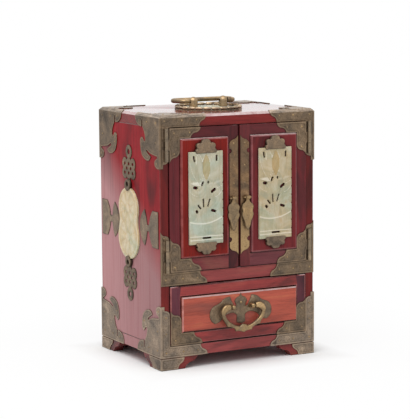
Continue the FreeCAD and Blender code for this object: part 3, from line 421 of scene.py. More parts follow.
@finish_once
def bare_wood(name, tone, grain):
    """Unlacquered wood of the drawer's box."""
    finish = Finish(name)
    streaks = finish.noise(grained(grain, *PLAIN_STREAKS), 6.0, 0.65, 0.3)
    base = finish.ramp(streaks, (0.3, shade(tone, 0.55)), (0.5, tone), (0.7, shade(tone, 1.35)))
    finish.look(Base_Color=base, Roughness=finish.spread(streaks, 0.3, 0.7, 0.7, 0.5))
    finish.bump(streaks, 0.08 * MM)
    return finish


# The chased border, measured in from a mount's outline: the end of its rubbed band and the fade
# before it, the middle of its cut line and where the scrolls begin
BAND_END = 1.4 * MM
BAND_FADE = 0.4 * MM
LINE_MIDDLE = 1.7 * MM
SCROLLS_START = 1.9 * MM
# How near the line's middle its cut begins, and where it is deepest
LINE_CUT = (0.5 * MM, 0.15 * MM)


@finish_once
def brass(name, tone, polish, handled=None, chased=False):
    """Brass with a brown patina in its hollows and bare metal where it is rubbed.
    Handled is the tone of a plate's lower end, and the heights between which it begins.
    Chased brass has a line cut along its outline, with a rubbed band outside it and scrolls inside."""
    finish = Finish(name)
    blotches = finish.noise(even(60.0), 6.0, 0.62, 0.6, (0.1 * len(name), 0.0, 0.0))
    specks = finish.noise(even(700.0), 4.0, 0.7)
    scratches = finish.noise((1900.0, 1900.0, 160.0), 3.0, 0.6)
    base = finish.ramp(blotches, (0.32, shade(tone, 0.5, 0.3)), (0.45, shade(tone, 0.85, 0.15)),
                       (0.56, tone), (0.68, shade(tone, 1.5)))
    if handled:
        bare, low, high = handled
        base = finish.mix("MIX", finish.spread(finish.along(Z), high, low), base, bare)
    base = finish.stained(base, 0.7, specks, 0.3, (0.35, 0.33, 0.3), 0.5)
    base = finish.mix("ADD", finish.spread(scratches, 0.6, 0.76, 0.0, 0.45), base, tone)
    hollow = finish.spread(finish.attribute("relief"), 0.25, 1.0, 0.0, 0.7)
    base = finish.mix("MIX", hollow, base, shade(tone, 0.28, 0.3))
    if chased:
        rim = finish.attribute("rim")
        band = finish.spread(rim, BAND_END, BAND_END - BAND_FADE, 0.0, 0.25)
        base = finish.mix("MIX", band, base, shade(tone, 1.7))
        near = finish.combine("PINGPONG", finish.combine("MINIMUM", rim, 2 * LINE_MIDDLE), LINE_MIDDLE)
        cut = finish.spread(near, *(LINE_MIDDLE - gap for gap in LINE_CUT), 0.0, 0.5)
        base = finish.mix("MULTIPLY", cut, base, (0.3, 0.26, 0.22))
        arcs = finish.combine("PINGPONG", finish.cells(even(150.0), 1.0), 0.12)
        inside = finish.combine("GREATER_THAN", rim, SCROLLS_START)
        scrolls = finish.combine("MULTIPLY", finish.spread(arcs, 0.08, 0.11, 0.0, 0.4), inside)
        base = finish.mix("MULTIPLY", scrolls, base, (0.35, 0.3, 0.26))
    # Painted shade in corners and gaps
    base = finish.corner_shaded(base, 1.6 * MM, 0.75)
    finish.look(Base_Color=base, Metallic=0.85, Specular_IOR_Level=0.4,
                Roughness=finish.spread(blotches, 0.3, 0.7, 0.58 - 0.2 * polish, 0.44 - 0.2 * polish))
    finish.bump(finish.combine("ADD", specks, finish.combine("MULTIPLY", scratches, 0.3)), 0.12 * MM)
    return finish


GREEN_STAIN = (0.46, 0.40, 0.26)
BROWN_STAIN = (0.50, 0.36, 0.20)


@finish_once
def jade(name, tone, stain, rubbed=0.6, hollows=1.0):
    """Pale waxy jade with stained clouds: a painted highlight, `rubbed`, whitens its ridges; darker in the
    hollows.
    """
    finish = Finish(name)
    clouds = finish.noise(even(45.0), 5.0, 0.6, 1.2, (0.2 * len(name), 0.0, 0.0))
    fibres = finish.noise((420.0, 420.0, 60.0), 5.0, 0.65, 0.5)
    cool = tinted(tone, (0.78, 0.86, 0.92))
    base = finish.ramp(clouds, (0.34, cool), (0.47, tone), (0.6, shade(tone, 1.2, 0.25)), (0.7, stain))
    hue = finish.noise(even(32.0), 3.0, 0.5, 0.8, (0.5, 0.1 * len(name), 0.0))
    tint = finish.ramp(hue, (0.36, (0.82, 0.97, 1.0)), (0.5, (0.95, 0.96, 0.93)), (0.64, (1.0, 0.93, 0.83)))
    base = finish.mix("MULTIPLY", 0.9, base, tint)
    base = finish.stained(base, 0.4, fibres, 0.32, (0.7, 0.62, 0.5), 0.52)
    hollow = finish.attribute("relief")
    base = finish.mix("MULTIPLY", finish.spread(hollow, 0.48, 0.7, 0.0, hollows), base, (0.9, 0.76, 0.52))
    # Painted highlight: the ridges are whitened, as much as `rubbed`
    base = finish.mix("MIX", finish.spread(hollow, 0.3, 0.08, 0.0, rubbed), base, shade(tone, 1.8, 0.5))
    # Painted shade in corners, gaps and piercings
    base = finish.corner_shaded(base, 1.2 * MM, 0.7)
    finish.look(Base_Color=base, Roughness=finish.spread(fibres, 0.3, 0.7, 0.34, 0.24),
                Subsurface_Weight=0.25, Subsurface_Radius=(2.0 * MM, 2.0 * MM, 1.4 * MM),
                Subsurface_Scale=1.0, Specular_IOR_Level=0.45)
    finish.bump(fibres, 0.05 * MM)
    return finish


@finish_once
def silk(name, tone):
    """Woven silk with small roundels."""
    finish = Finish(name)
    roundels = finish.cells(even(85.0), 0.0)
    threads = finish.noise(even(2600.0), 2.0, 0.5)
    base = finish.ramp(roundels, (0.14, shade(tone, 1.7)), (0.2, tone), (0.36, shade(tone, 1.7)),
                       (0.42, shade(tone, 0.8)))
    base = finish.stained(base, 0.5, threads, 0.3, (0.5, 0.48, 0.45), 0.6)
    finish.look(Base_Color=base, Roughness=0.55, Sheen_Weight=0.5, Sheen_Roughness=0.35)
    finish.bump(threads, 0.08 * MM)
    return finish


# Pieces

def copy_of(node):
    """A node's mesh with its loose triangles welded and its flat faces joined."""
    bm = bmesh.new()
    bm.from_mesh(frame["nodes"][node].data)
    bmesh.ops.remove_doubles(bm, verts=bm.verts, dist=WELD)
    bmesh.ops.dissolve_limit(bm, angle_limit=FLAT, verts=bm.verts, edges=bm.edges)
    return bm


def add_piece(name, bm, body, slot, finishes, nodes=()):
    mesh = bpy.data.meshes.new(name)
    bm.to_mesh(mesh)
    bm.free()
    for finish in finishes:
        mesh.materials.append(finish)
    mesh.shade_smooth()
    mesh.set_sharp_from_angle(angle=SHARP)
    piece = bpy.data.objects.new(name, mesh)
    bpy.context.scene.collection.objects.link(piece)
    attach(piece, body)
    if nodes:
        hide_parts(*nodes)
    return piece


def stand_for(node, suffix, bm, finishes):
    """A piece that takes a node's place on the node's own body."""
    body = frame["nodes"][node]["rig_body"]
    return add_piece(f"{node}_{suffix}", bm, body, SLOT_OF[node], finishes, (node,))


def soften(piece, width, segments=2, edge_finish=-1):
    bevel = piece.modifiers.new("Softened edges", "BEVEL")
    bevel.width = width
    bevel.segments = segments
    bevel.limit_method = "ANGLE"
    bevel.angle_limit = SHARP
    bevel.use_clamp_overlap = True
    bevel.harden_normals = True
    bevel.material = edge_finish


def spun(bm, geometry, centre, axis, steps):
    """Turn a profile all the way round and close its seam and poles."""
    bmesh.ops.spin(bm, geom=geometry, cent=centre, axis=axis, angle=FULL_TURN, steps=steps, use_merge=True)
    bmesh.ops.remove_doubles(bm, verts=bm.verts, dist=WELD)
    bmesh.ops.recalc_face_normals(bm, faces=bm.faces)


def loose_parts(bm):
    """The faces of each solid in a mesh; solids that touch along an edge stay apart."""
    left = set(bm.faces)
    while left:
        part = set()
        todo = [left.pop()]
        while todo:
            face = todo.pop()
            part.add(face)
            own = [edge for edge in face.edges if len(edge.link_faces) == 2]
            near = {other for edge in own for other in edge.link_faces} & left
            left -= near
            todo += near
        yield part


def part_box(faces):
    """The lowest and the highest corner of a solid's box."""
    places = [vert.co for face in faces for vert in face.verts]
    return [Vector([end(place[axis] for place in places) for axis in (X, Y, Z)]) for end in (min, max)]


def gridded(bm, out, pitch):
    """Cut the faces that look along `out` into a fine grid; returns their corners."""
    faces = [face for face in bm.faces if face.normal.dot(out) > LOOKS]
    corners = {vert for face in faces for vert in face.verts}
    geometry = faces + list({edge for face in faces for edge in face.edges}) + list(corners)
    for axis in (X, Y, Z):
        if out[axis]:
            continue
        places = [vert.co[axis] for vert in corners]
        low, high = min(places), max(places)
        steps = math.ceil((high - low) / pitch)
        across = Vector((axis == X, axis == Y, axis == Z))
        for step in range(1, steps):
            at = across * (low + (high - low) * step / steps)
            cut = bmesh.ops.bisect_plane(bm, geom=geometry, dist=WELD, plane_co=at, plane_no=across)
            geometry = cut["geom"]
    return {vert for face in geometry if isinstance(face, bmesh.types.BMFace) for vert in face.verts}


def wall_tree(bm, out):
    """Finds the nearest wall that stands along `out`."""
    walls = [face for face in bm.faces if abs(face.normal.dot(out)) < BESIDE]
    places = []
    rings = []
    for face in walls:
        rings.append(range(len(places), len(places) + len(face.verts)))
        places += [vert.co.copy() for vert in face.verts]
    return BVHTree.FromPolygons(places, rings)


def from_outline(bm, out, pitch):
    """The corners of a face's grid, each with its distance from the face's outline."""
    tree = wall_tree(bm, out)
    for vert in gridded(bm, out, pitch):
        yield vert, tree.find_nearest(vert.co)[3]


def float_layer(bm, name):
    layers = bm.verts.layers.float
    return layers.get(name) or layers.new(name)


def pillow(bm, out, reach, depth, pitch, carve=None, deepest=None):
    """Round a flat face down towards its outline over `reach`; `carve` adds depth of its own."""
    layer = float_layer(bm, "relief")
    for vert, gap in from_outline(bm, out, pitch):
        near = max(0.0, 1.0 - gap / reach)
        drop = depth * (1.0 - math.sqrt(1.0 - near * near))
        if carve:
            drop = max(drop, carve(vert.co))
        vert[layer] = drop / (deepest or depth)
        vert.co -= out * drop


def dome(bm, place, axis, radius, height, segments=10):
    """A low round head standing on a surface."""
    scale = Vector((radius, radius, radius))
    scale[axis] = height
    bmesh.ops.create_uvsphere(bm, u_segments=segments, v_segments=6, radius=1.0,
                              matrix=Matrix.Translation(place) @ Matrix.Diagonal((*scale, 1.0)))


# Wood

CASE_BOARDS = {"top_board": X, "bottom_board": X, "left_side_board": Z, "right_side_board": Z,
               "back_panel": Z, "divider_board": X, "compartment_shelf": X,
               "front_left_foot": X, "front_right_foot": X, "back_left_foot": X, "back_right_foot": X}
# Places of the finishes in a board or raised panel
WORN_AND_HIGHLIT, SHOWN = 1, 2


def refaced(bm, out, finish):
    """Give the faces that look along `out` another finish."""
    for face in bm.faces:
        if face.normal.dot(out) > LOOKS:
            face.material_index = finish


def slanted(bm, finish):
    """Give the bevelled faces another finish."""
    for face in bm.faces:
        if max(abs(part) for part in face.normal) < SLANTS:
            face.material_index = finish


class CABINET_OT_case_boards(bpy.types.Operator):
    """Case boards, back, shelf and feet in lacquered rosewood"""
    bl_idname = "cabinet.case_boards"
    bl_label = "Case boards"

    def execute(self, context):
        sizes, colours = settings(context)
        # Rounded edges: a lighter tone of the wood, partly a painted highlight
        warm = shade(colours.red, 1.3, 0.1)
        worn = worn_edge_painted_light("worn_board", warm, colours.dust)
        # Painted reflection on the sides' outer faces and on the bottom board's ends
        sheened = rosewood("hazy_side", colours.side, Z, 0.0, colours.painted_sheen)
        polished = rosewood("polished_lid", colours.red, X, 0.9)
        worn_side = worn_edge_painted_light("worn_side", shade(colours.red, 0.7), colours.dust)
        # Painted highlight: the lid's edges take a much paler dust tone
        worn_lid = worn_edge_painted_light("worn_lid", warm, shade(colours.dust, 1.3, 0.25))
        dark = shade(colours.rail, 0.7)
        tones = {"top_board": shade(colours.red, 0.87, 0.06),
                 "left_side_board": shade(colours.red, 0.6),
                 "right_side_board": shade(colours.red, 0.6),
                 "bottom_board": shade(colours.rail, 1.2, 0.11),
                 "divider_board": shade(colours.rail, 0.95, 0.11)}
        # The ways that show another finish, that finish and the finish of the rounded edges
        shows = {"top_board": ((UP,), polished, worn_lid),
                 "left_side_board": ((LEFT,), sheened, worn_side),
                 "right_side_board": ((RIGHT,), sheened, worn_side),
                 "bottom_board": ((LEFT, RIGHT), sheened, worn)}
        for node, grain in CASE_BOARDS.items():
            bm = copy_of(node)
            ways, shown, rounding = shows.get(node, ((), worn, worn))
            for out in ways:
                refaced(bm, out, SHOWN)
            if node == "top_board":
                slanted(bm, WORN_AND_HIGHLIT)
            wood = rosewood(f"rosewood_{node}", tones.get(node, dark), grain)
            soften(stand_for(node, "wood", bm, (wood, rounding, shown)), sizes.board_edge, 3, WORN_AND_HIGHLIT)
        return {"FINISHED"}


# Painted shade that reaches far and is darkest, behind the plaques' piercings and round them
PIERCED_CORNER_SHADE = (5.0 * MM, 1.0)
# Places of the finishes in a frame
STILES, RAILS, EDGES, LOW_RAIL, INNER_STILE = range(5)


def framed(context, node, stile, rail, low_rail, inner_stile):
    """Stiles take grain upwards and rails take it across.
    The low rail and the stile nearest the cabinet's middle have tones of their own."""
    sizes, colours = settings(context)
    bm = copy_of(node)
    low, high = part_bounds(node)
    for part in loose_parts(bm):
        part_low, part_high = part_box(part)
        size = part_high - part_low
        if size.x > size.z:
            finish = RAILS if part_high.z > (low.z + high.z) / 2 else LOW_RAIL
        else:
            away = max(abs(part_low.x), abs(part_high.x))
            finish = STILES if away > (high.x - low.x) / 2 else INNER_STILE
        for face in part:
            face.material_index = finish
    woods = (rosewood(f"{node}_stiles", stile, Z), rosewood(f"{node}_rails", rail, X),
             # Edges: a lighter tone of the rails, partly a painted highlight
             worn_edge_painted_light(f"{node}_edges", shade(rail, 1.2, 0.2), colours.dust),
             rosewood(f"{node}_low_rail", low_rail, X), rosewood(f"{node}_inner", inner_stile, Z))
    soften(stand_for(node, "wood", bm, woods), sizes.front_edge, 3, EDGES)


def raised_panel(context, node, wood, worn):
    """A raised panel with its sloping border worn, in a finish that paints highlight and shade on it."""
    bm = copy_of(node)
    slanted(bm, WORN_AND_HIGHLIT)
    soften(stand_for(node, "wood", bm, (wood, worn)), context.scene.cabinet_sizes.field_edge, 2, WORN_AND_HIGHLIT)


# Outer stile, rails and low rail of each door against the dark lacquer
DOOR_TINTS = {"left": ((1.0, 1.0, 1.0), (0.8, 0.92, 0.88), (1.38, 2.05, 1.8)),
              "right": ((1.75, 1.25, 1.25), (1.0, 1.35, 1.2), (1.25, 2.4, 2.2))}


class CABINET_OT_doors(bpy.types.Operator):
    """Door frames and their raised panels"""
    bl_idname = "cabinet.doors"
    bl_label = "Doors"

    def execute(self, context):
        colours = context.scene.cabinet_colours
        for side, tone in (("left", colours.left_field), ("right", colours.right_field)):
            stile, rail, low_rail = [tinted(colours.maroon, tint) for tint in DOOR_TINTS[side]]
            framed(context, f"{side}_door_frame", stile, rail, low_rail, rail)
            # The field takes far-reaching painted shade behind its pierced plaque
            wood = rosewood(f"{side}_door_field", tone, Z, 0.2, grime=PIERCED_CORNER_SHADE)
            # Field edges: a lighter tone of the field, partly a painted highlight
            worn = worn_edge_painted_light(f"{side}_door_field_edge", shade(tone, 1.5, 0.2), colours.dust)
            raised_panel(context, f"{side}_door_panel", wood, worn)
        return {"FINISHED"}


class CABINET_OT_drawer(bpy.types.Operator):
    """Drawer front and the box behind it"""
    bl_idname = "cabinet.drawer"
    bl_label = "Drawer"

    def execute(self, context):
        sizes, colours = settings(context)
        framed(context, "drawer_front_frame", colours.stile, colours.rail,
               shade(colours.rail, 1.25), colours.stile)
        wood = rosewood("drawer_field", colours.salmon, X, figured=0.5)
        # Field edges: a lighter tone of the drawer's field, partly a painted highlight
        worn = worn_edge_painted_light("drawer_field_edge", shade(colours.salmon, 1.4, 0.3), colours.dust)
        raised_panel(context, "drawer_front_panel", wood, worn)
        for node, grain in (("drawer_sides", Y), ("drawer_back", X), ("drawer_bottom", X)):
            plain = bare_wood(f"{node}_plain", colours.drawer_wood, grain)
            soften(stand_for(node, "wood", copy_of(node), (plain,)), sizes.board_edge)
        return {"FINISHED"}


# Silk

# How much of its card's depth the silk swells into
SWELL = 0.8
CARD_CELLS = (24, 16)
TRAY_CELLS = (20, 16)


def silk_piece(context, name, bm, body, node):
    """A silk sheet with the thickness of a lining behind its face."""
    sizes, colours = settings(context)
    piece = add_piece(name, bm, body, "silk_lining", (silk("silk", colours.silk),), (node,))
    wall = piece.modifiers.new("Thickness", "SOLIDIFY")
    wall.thickness = sizes.lining
    wall.offset = -1.0
    return piece


def silk_card(context, name, low, high, out, carrier):
    """Silk drawn over a thin card: a sheet with a faint swell, its face along `out`."""
    axes = [axis for axis in (X, Y, Z) if axis != out]
    spans = [high[axis] - low[axis] for axis in axes]
    bm = bmesh.new()
    bmesh.ops.create_grid(bm, x_segments=CARD_CELLS[0], y_segments=CARD_CELLS[1], size=0.5)
    thick = context.scene.cabinet_sizes.lining
    for vert in bm.verts:
        shares = vert.co.x + 0.5, vert.co.y + 0.5
        swell = SWELL * math.sin(math.pi * shares[0]) * math.sin(math.pi * shares[1])
        place = Vector(low)
        for axis, share, span in zip(axes, shares, spans):
            place[axis] = low[axis] + share * span
        rise = thick + (high[out] - low[out] - thick) * swell
        place[out] = low[out] + rise if out == Z else high[out] - rise
        vert.co = place
    bmesh.ops.recalc_face_normals(bm, faces=bm.faces)
    towards = UP if out == Z else FRONT
    if next(iter(bm.faces)).normal.dot(towards) < 0:
        bmesh.ops.reverse_faces(bm, faces=bm.faces)
    piece = silk_piece(context, name, bm, "case", "compartment_lining")


class CABINET_OT_linings(bpy.types.Operator):
    """Silk linings of the compartments and of the drawer"""
    bl_idname = "cabinet.linings"
    bl_label = "Silk linings"

    def execute(self, context):
        cards = {}
        bm = copy_of("compartment_lining")
        for part in loose_parts(bm):
            low, high = part_box(part)
            out = Z if high.z - low.z < high.y - low.y else Y
            cards[(out, low.z)] = (low, high)
        bm.free()
        sheets = (("lower_back_silk", "back_panel"), ("upper_back_silk", "back_panel"),
                  ("lower_floor_silk", "divider_board"), ("upper_floor_silk", "compartment_shelf"))
        for (name, carrier), (out, bottom) in zip(sheets, sorted(cards)):
            silk_card(context, name, *cards[(out, bottom)], out, carrier)
        self.tray(context)
        return {"FINISHED"}

    def tray(self, context):
        """The drawer's lining: a floor with four walls folded up."""
        low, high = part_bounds("drawer_lining")
        wide, deep, tall = high - low
        bm = bmesh.new()
        bmesh.ops.create_grid(bm, x_segments=TRAY_CELLS[0], y_segments=TRAY_CELLS[1], size=0.5)
        bmesh.ops.scale(bm, vec=(wide, deep, 1.0), verts=bm.verts)
        bmesh.ops.translate(bm, vec=((low.x + high.x) / 2, (low.y + high.y) / 2, low.z), verts=bm.verts)
        rim = [edge for edge in bm.edges if edge.is_boundary]
        walls = bmesh.ops.extrude_edge_only(bm, edges=rim)["geom"]
        raised = [item for item in walls if isinstance(item, bmesh.types.BMVert)]
        bmesh.ops.translate(bm, vec=(0.0, 0.0, tall), verts=raised)
        bmesh.ops.recalc_face_normals(bm, faces=bm.faces)
        piece = silk_piece(context, "drawer_tray_silk", bm, "drawer", "drawer_lining")


# Brass

CORNERS = [f"{end}_{level}_{side}_mount" for end in ("front", "back") for level in ("top", "bottom")
           for side in ("left", "right")]
SHEET_MOUNTS = CORNERS + ["left_divider_mount", "right_divider_mount", "left_door_mounts",
                          "right_door_mounts", "drawer_mounts", "foot_mounts",
                          "left_lock_plate", "right_lock_plate"]
# Places of the finishes in a sheet mount
RUBBED, KNUCKLE, LID_HIGHLIGHT = 1, 2, 3
# Spacing of the cuts that carry the chased border
BORDER_CELL = 2.5 * MM
# How far in front of the sheets a hinge's knuckle begins
KNUCKLE_START = 1.8 * MM
# Heights between which the lock plates grow bare
BARE_HEIGHTS = (0.125, 0.16)


def faces_of(node):
    """The ways that a sheet mount's broad faces look."""
    ways = [BACK if node.startswith("back") or node == "foot_mounts" else FRONT]
    if node == "foot_mounts":
        ways.append(FRONT)
    if node in CORNERS or node == "foot_mounts":
        ways += [RIGHT, LEFT]
    if "top" in node:
        ways.append(UP)
    return ways


class CABINET_OT_sheet_mounts(bpy.types.Operator):
    """Sheet brass mounts on the case, doors and drawer, with brighter hinge knuckles"""
    bl_idname = "cabinet.sheet_mounts"
    bl_label = "Sheet mounts"

    def execute(self, context):
        sizes, colours = settings(context)
        dull = brass("chased_brass", colours.brass, 0.0, chased=True)
        dusty = brass("dusty_brass", shade(colours.brass, 1.5, 0.24), 0.0, chased=True)
        bare_end = (shade(colours.bright, 1.2), *BARE_HEIGHTS)
        lock = brass("lock_plate_brass", tinted(colours.brass, (1.1, 0.96, 0.8)), 0.2, bare_end)
        rubbed = brass("rubbed_edge", shade(colours.brass, 1.55), 0.6)
        knuckle = brass("knuckle_brass", shade(colours.bright, 0.9, 0.3), 0.3)
        # Painted highlight: much paler, greyer brass for top mount faces that look up
        lid = brass("lid_brass", shade(colours.brass, 2.1, 0.35), 0.5, chased=True)
        sheet_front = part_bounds("front_bottom_left_mount")[0].y
        for node in SHEET_MOUNTS:
            bm = copy_of(node)
            layer = float_layer(bm, "rim")
            for out in faces_of(node):
                for vert, gap in from_outline(bm, out, BORDER_CELL):
                    vert[layer] = gap
            for face in bm.faces:
                if face.calc_center_median().y < sheet_front - KNUCKLE_START:
                    face.material_index = KNUCKLE
                # Painted highlight: top mount faces that look up take the paler brass
                if face.normal.z > BESIDE and "top" in node:
                    face.material_index = LID_HIGHLIGHT
            low = "bottom" in node or "foot" in node
            main = lock if "lock" in node else dusty if low else dull
            soften(stand_for(node, "brass", bm, (main, rubbed, knuckle, lid)), sizes.sheet_edge, 2, RUBBED)
        return {"FINISHED"}


CUFF_RINGS = 3
CUFF_WIRE = 0.65 * MM
CUFF_GAP = 1.0 * MM
CUFF_PITCH = 1.6 * MM
CUFF_CORNERS = 10
CUFF_STEPS = 32


class CABINET_OT_castings(bpy.types.Operator):
    """Clips, knots, wings, pulls, bails and posts with rounded sections, and the rings on the handle"""
    bl_idname = "cabinet.castings"
    bl_label = "Castings"

    def execute(self, context):
        sizes, colours = settings(context)
        dull = brass("patinated_brass", colours.brass, 0.0)
        bright = brass("bright_brass", colours.bright, 0.4)
        pale = brass("handle_brass", shade(colours.bright, 1.25, 0.08), 0.5)
        wings = brass("wing_brass", shade(colours.brass, 1.25, 0.12), 0.0)
        clips = brass("clip_brass", shade(colours.brass, 1.25), 0.0)
        # Finish, the ways that are rounded, how far in from the outline and how deep
        shapes = {
            "side_knots": (dull, (LEFT, RIGHT), 1.9 * MM, 0.5 * MM),
            "side_wings": (wings, (LEFT, RIGHT), 2.5 * MM, 0.45 * MM),
            "left_plaque_clips": (clips, (FRONT,), 1.4 * MM, 0.6 * MM),
            "right_plaque_clips": (clips, (FRONT,), 1.4 * MM, 0.6 * MM),
            "drawer_pull_plate": (dull, (FRONT,), 2.0 * MM, 0.45 * MM),
            "left_door_pull": (bright, (FRONT,), 3.2 * MM, 0.6 * MM),
            "right_door_pull": (bright, (FRONT,), 3.2 * MM, 0.6 * MM),
            "drawer_bail": (bright, (FRONT, BACK), 2.2 * MM, 1.7 * MM),
            "top_handle": (pale, (UP, DOWN), 2.6 * MM, 1.9 * MM),
        }
        for node, (finish, ways, reach, depth) in shapes.items():
            bm = copy_of(node)
            for out in ways:
                pillow(bm, out, reach, depth, sizes.cell)
            stand_for(node, "brass", bm, (finish,))
        for node in ("hinge_pins", "left_staple", "right_staple", "drawer_pull_posts", "handle_posts"):
            finish = pale if node == "handle_posts" else bright
            soften(stand_for(node, "brass", copy_of(node), (finish,)), sizes.cast_edge)
        self.cuff(dull)
        return {"FINISHED"}

    def cuff(self, finish):
        """Rings round the handle's right end, beside its post."""
        post_low, post_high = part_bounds("handle_posts")
        bar_low, bar_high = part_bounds("top_handle")
        bar = (bar_high.z - bar_low.z) / 2
        bm = bmesh.new()
        for ring in range(CUFF_RINGS):
            centre = Vector((post_high.x + CUFF_GAP + ring * CUFF_PITCH, (post_low.y + post_high.y) / 2,
                             (bar_low.z + bar_high.z) / 2))
            place = Matrix.Translation(centre + bar * UP) @ Matrix.Rotation(math.pi / 2, 4, "X")
            circle = bmesh.ops.create_circle(bm, segments=CUFF_CORNERS, radius=CUFF_WIRE, matrix=place)
            verts = circle["verts"]
            edges = list({edge for vert in verts for edge in vert.link_edges})
            spun(bm, verts + edges, centre, RIGHT, CUFF_STEPS)
        add_piece("handle_cuff", bm, "top_handle", "patinated_brass", (finish,))


RIM_WIDTH = 3.6 * MM
# The plate's turned profile: rim widths in from its edge, and thicknesses of its sheet up from the lid
PLATE_PROFILE = ((0.0, 0.0), (0.0, 1.0), (0.6, 1.6), (1.0, 1.3), (1.3, 1.0))
PLATE_STEPS = 72
# Half a boss's length against the spacing of the bosses
BOSS_LENGTH = 0.56


class CABINET_OT_handle_plate(bpy.types.Operator):
    """Round plate under the carrying handle, with bosses round its rim"""
    bl_idname = "cabinet.handle_plate"
    bl_label = "Handle plate"

    def execute(self, context):
        sizes, colours = settings(context)
        low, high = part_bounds("handle_plate")
        centre = (low + high) / 2
        radius = high.x - centre.x
        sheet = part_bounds("handle_disc")[0].z - low.z
        edge = [(radius - rims * RIM_WIDTH, low.z + sheets * sheet) for rims, sheets in PLATE_PROFILE]
        profile = [(0.0, low.z), *edge, (0.0, low.z + sheet)]
        bm = bmesh.new()
        verts = [bm.verts.new((centre.x + reach, centre.y, height)) for reach, height in profile]
        edges = [bm.edges.new(pair) for pair in zip(verts, verts[1:])]
        spun(bm, verts + edges, centre, UP, PLATE_STEPS)
        plate = brass("plate_brass", shade(colours.bright, 1.1, 0.25), 0.3)
        pale = brass("rim_brass", shade(colours.bright, 1.5, 0.3), 0.5)
        add_piece("handle_plate_turned", bm, "case", "patinated_brass", (plate,), ("handle_plate",))
        half_tall = (high.z - low.z - sheet) / 2
        ring = radius - RIM_WIDTH / 2
        half_long = BOSS_LENGTH * FULL_TURN * ring / sizes.bosses
        shape = Matrix.Diagonal((RIM_WIDTH / 2, half_long, half_tall, 1.0))
        place = Matrix.Translation((ring, 0.0, 0.0))
        seat = Matrix.Translation((centre.x, centre.y, high.z - half_tall))
        bm = bmesh.new()
        for index in range(sizes.bosses):
            turn = Matrix.Rotation(FULL_TURN * index / sizes.bosses, 4, "Z")
            bmesh.ops.create_uvsphere(bm, u_segments=14, v_segments=8, radius=1.0,
                                      matrix=seat @ turn @ place @ shape)
        add_piece("handle_plate_bosses", bm, "case", "patinated_brass", (pale,), ("handle_plate",))
        return {"FINISHED"}


# Places of the nails, in millimetres inwards and along from the corner that each mount covers
NAILS = {
    "front": ((5, 5), (24, 5), (40, 5), (5, 24), (5, 40)),
    "side": ((7, 7), (26, 7), (42, 6), (7, 26), (5, 46), (36, 32)),
    "lid": ((8, 8), (28, 5), (7, 22)),
    "divider": ((5, 6), (24, 6), (40, 6), (3.5, 47)),
    "door": ((5, 5), (22, 5), (5, 25)),
    "drawer": ((5, 5), (23, 5), (5, 24)),
}
# Places on a lock plate against half its height, from its middle upwards
LOCK_NAILS = (-0.87, 0.87, -0.5, 0.5, 0.2)
# The drawer plate's boss: its height above the bail's axis, and its radius against a nail's
BOSS_RISE = 3.6 * MM
BOSS_RADIUS = 1.6


def nail_places(mount):
    return [(inwards * MM, along * MM) for inwards, along in NAILS[mount]]


class CABINET_OT_nails(bpy.types.Operator):
    """Round nail heads that fix the sheet mounts"""
    bl_idname = "cabinet.nails"
    bl_label = "Nails"

    def execute(self, context):
        sizes, colours = settings(context)
        bright = brass("bright_brass", colours.bright, 0.4)
        self.radius = sizes.nail
        heads = {body: bmesh.new() for body in ("case", "left_door", "right_door", "drawer")}
        self.case(heads["case"])
        for side, sign in SIDES:
            self.door(heads[f"{side}_door"], side, sign)
        self.drawer(heads["drawer"])
        for body, bm in heads.items():
            add_piece(f"{body}_nails", bm, body, "patinated_brass", (bright,))
        return {"FINISHED"}

    def head(self, bm, axis, *place):
        dome(bm, Vector(place), axis, self.radius, 0.5 * self.radius)

    def case(self, bm):
        low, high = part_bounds("bottom_board")[0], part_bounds("top_board")[1]
        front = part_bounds("front_bottom_left_mount")[0].y
        side_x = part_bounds("front_bottom_right_mount")[1].x
        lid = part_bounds("back_top_left_mount")[1].z
        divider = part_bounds("divider_board")[0].z
        for _, sign in SIDES:
            for y, inward in ((low.y, 1), (high.y, -1)):
                for z, up in ((low.z, 1), (high.z, -1)):
                    if inward > 0:
                        for a, b in nail_places("front"):
                            self.head(bm, Y, sign * (high.x - a), front, z + up * b)
                    for a, b in nail_places("side"):
                        self.head(bm, X, sign * side_x, y + inward * a, z + up * b)
                for a, b in nail_places("lid"):
                    self.head(bm, Z, sign * (high.x - a), y + inward * b, lid)
            for a, b in nail_places("divider"):
                self.head(bm, Y, sign * (high.x - a), front, divider + b)

    def door(self, bm, side, sign):
        low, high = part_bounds(f"{side}_door_frame")
        plate_low, plate_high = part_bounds(f"{side}_lock_plate")
        face = plate_low.y
        outer = high.x if sign > 0 else -low.x
        for z, up in ((low.z, 1), (high.z, -1)):
            for a, b in nail_places("door"):
                self.head(bm, Y, sign * (outer - a), face, z + up * b)
        middle = (plate_low + plate_high) / 2
        half = (plate_high.z - plate_low.z) / 2
        for share in LOCK_NAILS:
            self.head(bm, Y, middle.x, face, middle.z + share * half)

    def drawer(self, bm):
        low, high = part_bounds("drawer_front_frame")
        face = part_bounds("drawer_mounts")[0].y
        for _, sign in SIDES:
            for a, b in nail_places("drawer"):
                self.head(bm, Y, sign * (high.x - a), face, low.z + b)
        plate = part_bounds("drawer_pull_plate")[0].y
        axis_z = sum(corner.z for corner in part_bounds("drawer_pull_posts")) / 2
        dome(bm, Vector((0.0, plate, axis_z + BOSS_RISE)), Y, BOSS_RADIUS * self.radius, self.radius, 16)


# Jade

def petal(across, up, centre, half, lean):
    """Swell of a pointed petal: 1 along its middle, 0 at its rim and beyond."""
    lean = math.radians(lean)
    right, rise = across - centre[0], up - centre[1]
    side = right * math.cos(lean) + rise * math.sin(lean)
    run = (rise * math.cos(lean) - right * math.sin(lean)) / half[1]
    if abs(run) >= 1.0:
        return 0.0
    share = side / (half[0] * (1.0 - run * run))
    return math.sqrt(1.0 - share * share) if abs(share) < 1.0 else 0.0


